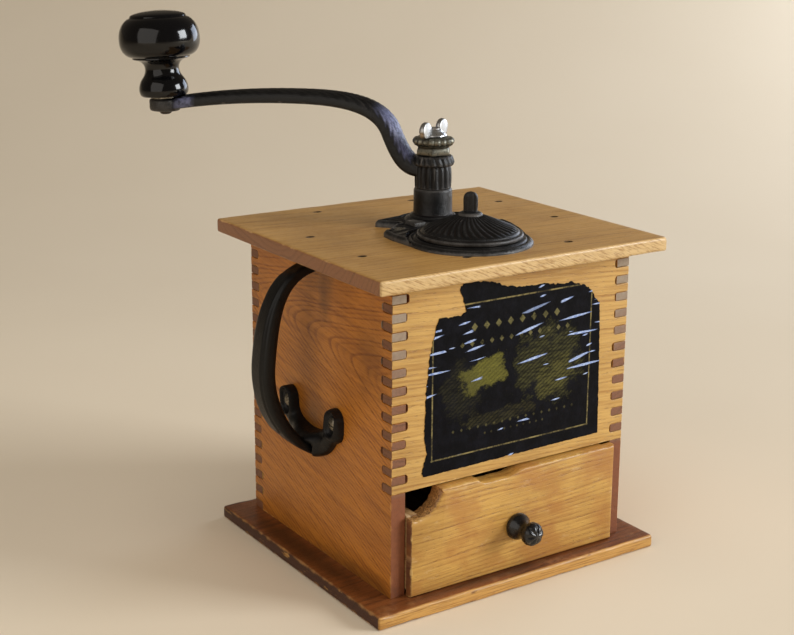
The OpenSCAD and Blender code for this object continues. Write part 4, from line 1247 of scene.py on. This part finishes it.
def drawer_front_piece(material):
    """Board with its gnawed corner, a worn dip in the top edge and rounded outer edges."""
    loop = resample(cad_loop("drawer_front", 1, DRAWER_Y, Matrix()), 0.8)
    if sum(a[0] * b[1] - b[0] * a[1] for a, b in zip(loop, loop[1:] + loop[:1])) < 0:
        loop = loop[::-1]
    (x0, z0), (x1, z1) = np.min(loop, 0), np.max(loop, 0)
    middle = (z0 + z1) / 2
    bite_top, bite_side = (-47.8, z1), (x0, 48.8)

    def bitten(x, z):
        """Whether a point of the outline belongs to the gnawed corner."""
        on_left_edge = abs(x - x0) < 0.1 and z < bite_side[1] + 0.4
        return x < bite_top[0] and z > bite_side[1] - 0.4 and not on_left_edge

    def level(y, inset, chamfer):
        """The outline at a depth, drawn in by inset at its edges, less at the left one."""
        ring = []
        for i, (x, z) in enumerate(loop):
            u = x * (1 - inset / x1) if x > 0 else x * (1 + 0.45 * inset / x0)
            w = middle + (z - middle) * (1 - inset / (z1 - middle))
            if bitten(x, z):
                d = (Vector(loop[(i + 1) % len(loop)]) - Vector(loop[i - 1])).normalized()
                rough = noise.noise((x * 0.6, z * 0.6, y * 0.35)) * 0.55
                rough += noise.noise((x * 2.3, z * 2.3, y * 1.1)) * 0.35
                back = chamfer + rough
                for end in (bite_top, bite_side):
                    back *= smooth(0, 2.2, math.dist((x, z), end))
                u, w = u - d.y * back, w + d.x * back
            elif abs(z - z1) < 0.1:
                w -= 2.6 * smooth(-27, -21, x) * (1 - smooth(-7, 5, x))
                w -= 0.3 * max(0, noise.noise((x * 0.2, 3.0, 0)))
            ring.append((u, y, w))
        return ring

    # Depth, inset and chamfer of the bite, from behind to the face
    front = [level(DRAWER_Y + y, inset, chamfer) for y, inset, chamfer in (
        (4.5, 0.0, 0.0), (3.6, 0.0, 0.1), (2.8, 0.0, 0.2), (2.0, 0.0, 0.35), (1.4, 0.1, 0.5),
        (0.9, 0.22, 0.7), (0.4, 0.5, 0.95), (0.12, 0.85, 1.2), (0.0, 1.3, 1.5))]
    # Behind the lapped ends the board is narrower, to go between the drawer's sides
    rear = [[(max(-DRAWER_IN_X, min(DRAWER_IN_X, x)), DRAWER_Y + y, z) for x, _, z in front[0]]
            for y in (WALL_T, 6.5, 4.4)]
    shells = [ring_shell(front), ring_shell(rear)]
    return mesh_piece("drawer_front_board", "drawer_front", shells, material, sharp=40)


def label_piece(material):
    """Thin sheet with a torn, slightly lifted edge."""
    loop = cad_loop("label", 1, -CASE_Y - 0.4, Matrix())
    rng = random.Random(21)
    fine = resample(loop, 0.9)
    cut_right, cut_low = 55.2, 71.5
    torn = []
    for i, (u, v) in enumerate(fine):
        a, b = Vector(fine[i - 1]), Vector(fine[(i + 1) % len(fine)])
        d = (b - a).normalized()
        push = noise.noise((u * 0.5, v * 0.5, 2.0)) * 0.75 + rng.uniform(-0.22, 0.22)
        # The right and bottom edges were cut straight
        if u > cut_right or v < cut_low:
            push *= 0.35
        torn.append((u + d.y * push, v - d.x * push))

    def height(u, v, edge):
        ripple = noise.noise((u * 0.05 + 3, v * 0.3 - u * 0.1, 0.5)) * 0.09
        lift = 0.1 * math.exp(-edge / 0.8) * (0.5 + noise.noise((u * 0.3, v * 0.3, 7)))
        return -CASE_Y - 0.26 - ripple - lift

    sheet = relief(torn, height, -CASE_Y - 0.01, lambda u, v, y: (u, y, v), pitch=1.6, edge_step=0.9)
    return mesh_piece("label_sheet_torn", "label", [sheet], material, sharp=60)


def carried_nodes():
    """CAD nodes whose shape is right: small bevels and materials of their own."""
    nail = iron("nail_iron", srgb(38, 28, 22), 0.55, srgb(96, 84, 72), grit=0.25, rust=0.5, coat=0.0)
    steel = bare_metal("fastener_steel", srgb(150, 143, 128), srgb(52, 44, 38), 0.38, grime=0.7)
    grey = iron("grey_iron", srgb(84, 84, 86), 0.5, srgb(140, 138, 134), worn=0.6, rust=0.25, coat=0.0,
                metallic=0.6)
    turned_steel = bare_metal("spindle_steel", srgb(176, 176, 178), srgb(90, 84, 76), 0.28, grime=0.4,
                              lathe=0.6)
    inner = wood("drawer_inner", (0.0, 1.0, 0.02), (0, 0, -40), 5.0, ((-66, -77, 7), (66, 53, 51)),
                 srgb(206, 172, 122), srgb(160, 116, 70), srgb(130, 96, 66), srgb(214, 188, 146), coat=0.0)
    for material, bevel, names in (
            (nail, 0.12, ("top_nails", "base_nails", "drawer_nails")),
            (steel, 0.12, ("plate_screws", "burr_screws", "burr_nut", "knob_washer", "handle_screws",
                           "drawer_knob_screw")),
            (grey, 0.12, ("hopper", "outer_burr", "inner_burr")),
            (turned_steel, 0.12, ("spindle",)),
            (inner, 0.5, ("drawer_left", "drawer_right", "drawer_back", "drawer_bottom"))):
        for name in names:
            mesh = NODES[name].data
            mesh.materials.clear()
            mesh.materials.append(material)
            add_bevel(NODES[name], bevel)


# ---------------------------------------------------------------- scene

def area_light(name, place, target, size, power, colour, glossy=True):
    data = bpy.data.lights.new(name, "AREA")
    data.shape = "SQUARE"
    data.size, data.energy, data.color = size, power, colour
    light = put_in_scene(name, data)
    light.location = place
    light.rotation_mode = "QUATERNION"
    light.rotation_quaternion = (Vector(target) - Vector(place)).to_track_quat("-Z", "Y")
    light.visible_glossy = glossy


def lights():
    """A window at the front right, a cool one further back, a large dim wall and a soft ceiling."""
    area_light("window", (2.4, -2.2, 1.15), (0, 0, 0.12), 1.44, 111.0, (0.94, 0.97, 1.0))
    area_light("side_window", (1.5, 0.42, 0.42), (0, 0, 0.2), 0.8, 9.0, (0.72, 0.82, 1.0))
    area_light("wall", (-1.5, -0.7, 0.7), (0, 0, 0.1), 1.8, 11.0, (1.0, 0.94, 0.87))
    area_light("ceiling", (-0.2, -0.3, 1.7), (0, 0, 0), 1.4, 12.0, (1.0, 0.96, 0.9), glossy=False)
    world = bpy.data.worlds.new("room")
    world.use_nodes = True
    background = world.node_tree.nodes["Background"]
    background.inputs["Color"].default_value = srgb(196, 180, 158)
    background.inputs["Strength"].default_value = 0.22
    bpy.context.scene.world = world
    bpy.context.scene.view_settings.view_transform = "Standard"


def floor():
    """A pale sheet that curves up slowly behind the object."""
    g = Graph("floor_paper", Specular_IOR_Level=0.1)
    paper = g.mix(g.noise(g.mm, 0.004), srgb(225, 210, 186), srgb(231, 217, 194))
    material = g.finish(paper, 0.9, g.noise(g.mm, 0.6), depth_mm=0.1, strength=0.3)
    # Flat past the object, then a part of a wide circle, which stops low to stay out of reflections
    rise_at, radius, last, step = 0.55, 1.6, 48, 3
    near, half_width, drop = -3.0, 4.0, 0.0002
    profile = [(near, 0.0), (rise_at, 0.0)]
    profile += [(rise_at + radius * math.sin(a), radius - radius * math.cos(a))
                for a in (math.radians(d) for d in range(step, last + 1, step))]
    turn = Matrix.Rotation(math.radians(-34.6), 4, "Z")
    points = [turn @ Vector((x, y, z - drop)) for y, z in profile for x in (-half_width, half_width)]
    faces = [(2 * i, 2 * i + 1, 2 * i + 3, 2 * i + 2) for i in range(len(profile) - 1)]
    mesh = bpy.data.meshes.new("floor")
    mesh.from_pydata(points, [], faces)
    mesh.materials.append(material)
    mesh.shade_smooth()
    put_in_scene("floor", mesh)


def camera():
    """The photograph's viewpoint, solved from the corners of the case and of its two boards."""
    place, aim, roll = (-0.450, -0.641, 0.349), (0.5497, 0.7966, -0.2519), math.radians(0.62)
    forward = Vector(aim).normalized()
    right = forward.cross(Vector((0, 0, 1))).normalized()
    up = right.cross(forward)
    x = right * math.cos(roll) + up * math.sin(roll)
    y = up * math.cos(roll) - right * math.sin(roll)
    data = bpy.data.cameras.new("camera")
    data.sensor_width, data.lens = 36, 66.74
    data.shift_x, data.shift_y = -0.0346, -0.0412
    data.clip_start, data.clip_end = 0.01, 20
    made = put_in_scene("camera", data)
    made.matrix_world = Matrix.Translation(place) @ Matrix((x, y, -forward)).transposed().to_4x4()
    bpy.context.scene.camera = made


def build():
    side_board("left_side", -1, 3, case_side_wood(-1))
    side_board("right_side", 1, 5, case_side_wood(1))
    end_board("front_panel", -1, FRONT_Z0, 6, case_front_wood())
    end_board("back_panel", 1, WALL_Z0, 7, case_front_wood(back=True))
    top_board_piece(top_wood())
    base_board_piece(base_wood())
    drawer_front_piece(drawer_wood())
    label_piece(label_sheet())
    casting = {"worn": 0.6, "grit": 0.6, "coat": 0.1, "specular": 0.32}
    black = iron("black_iron", srgb(9, 9, 10), 0.3, srgb(104, 100, 96), **casting)
    hopper_top_piece(black)
    lid_piece(black)
    crank_piece(iron("crank_black", srgb(9, 9, 10), 0.3, srgb(104, 100, 96), extra=painted_arm_sheen, **casting))
    carry_handle_piece(iron("handle_black", srgb(6, 6, 7), 0.32, srgb(52, 52, 58), worn=0.25, grit=0.3,
                            rust=0.04, coat=0.08, specular=0.28))
    drawer_knob_piece(iron("knob_black", srgb(7, 7, 9), 0.2, srgb(60, 60, 68), worn=0.3, grit=0.15,
                           rust=0.02))
    knob_piece(lacquer())
    crown_nut_piece(bare_metal("crown_plate", srgb(126, 124, 112), srgb(44, 42, 36), 0.34, grime=0.75,
                               metallic=0.85))
    wing_nut_piece(bare_metal("bright_metal", srgb(214, 216, 218), srgb(120, 118, 110), 0.22, grime=0.4))
    rivet_piece(iron("rivet_iron", srgb(40, 32, 28), 0.5, srgb(110, 96, 84), grit=0.2, rust=0.4, coat=0.0))
    carried_nodes()


build()
camera()
lights()
floor()
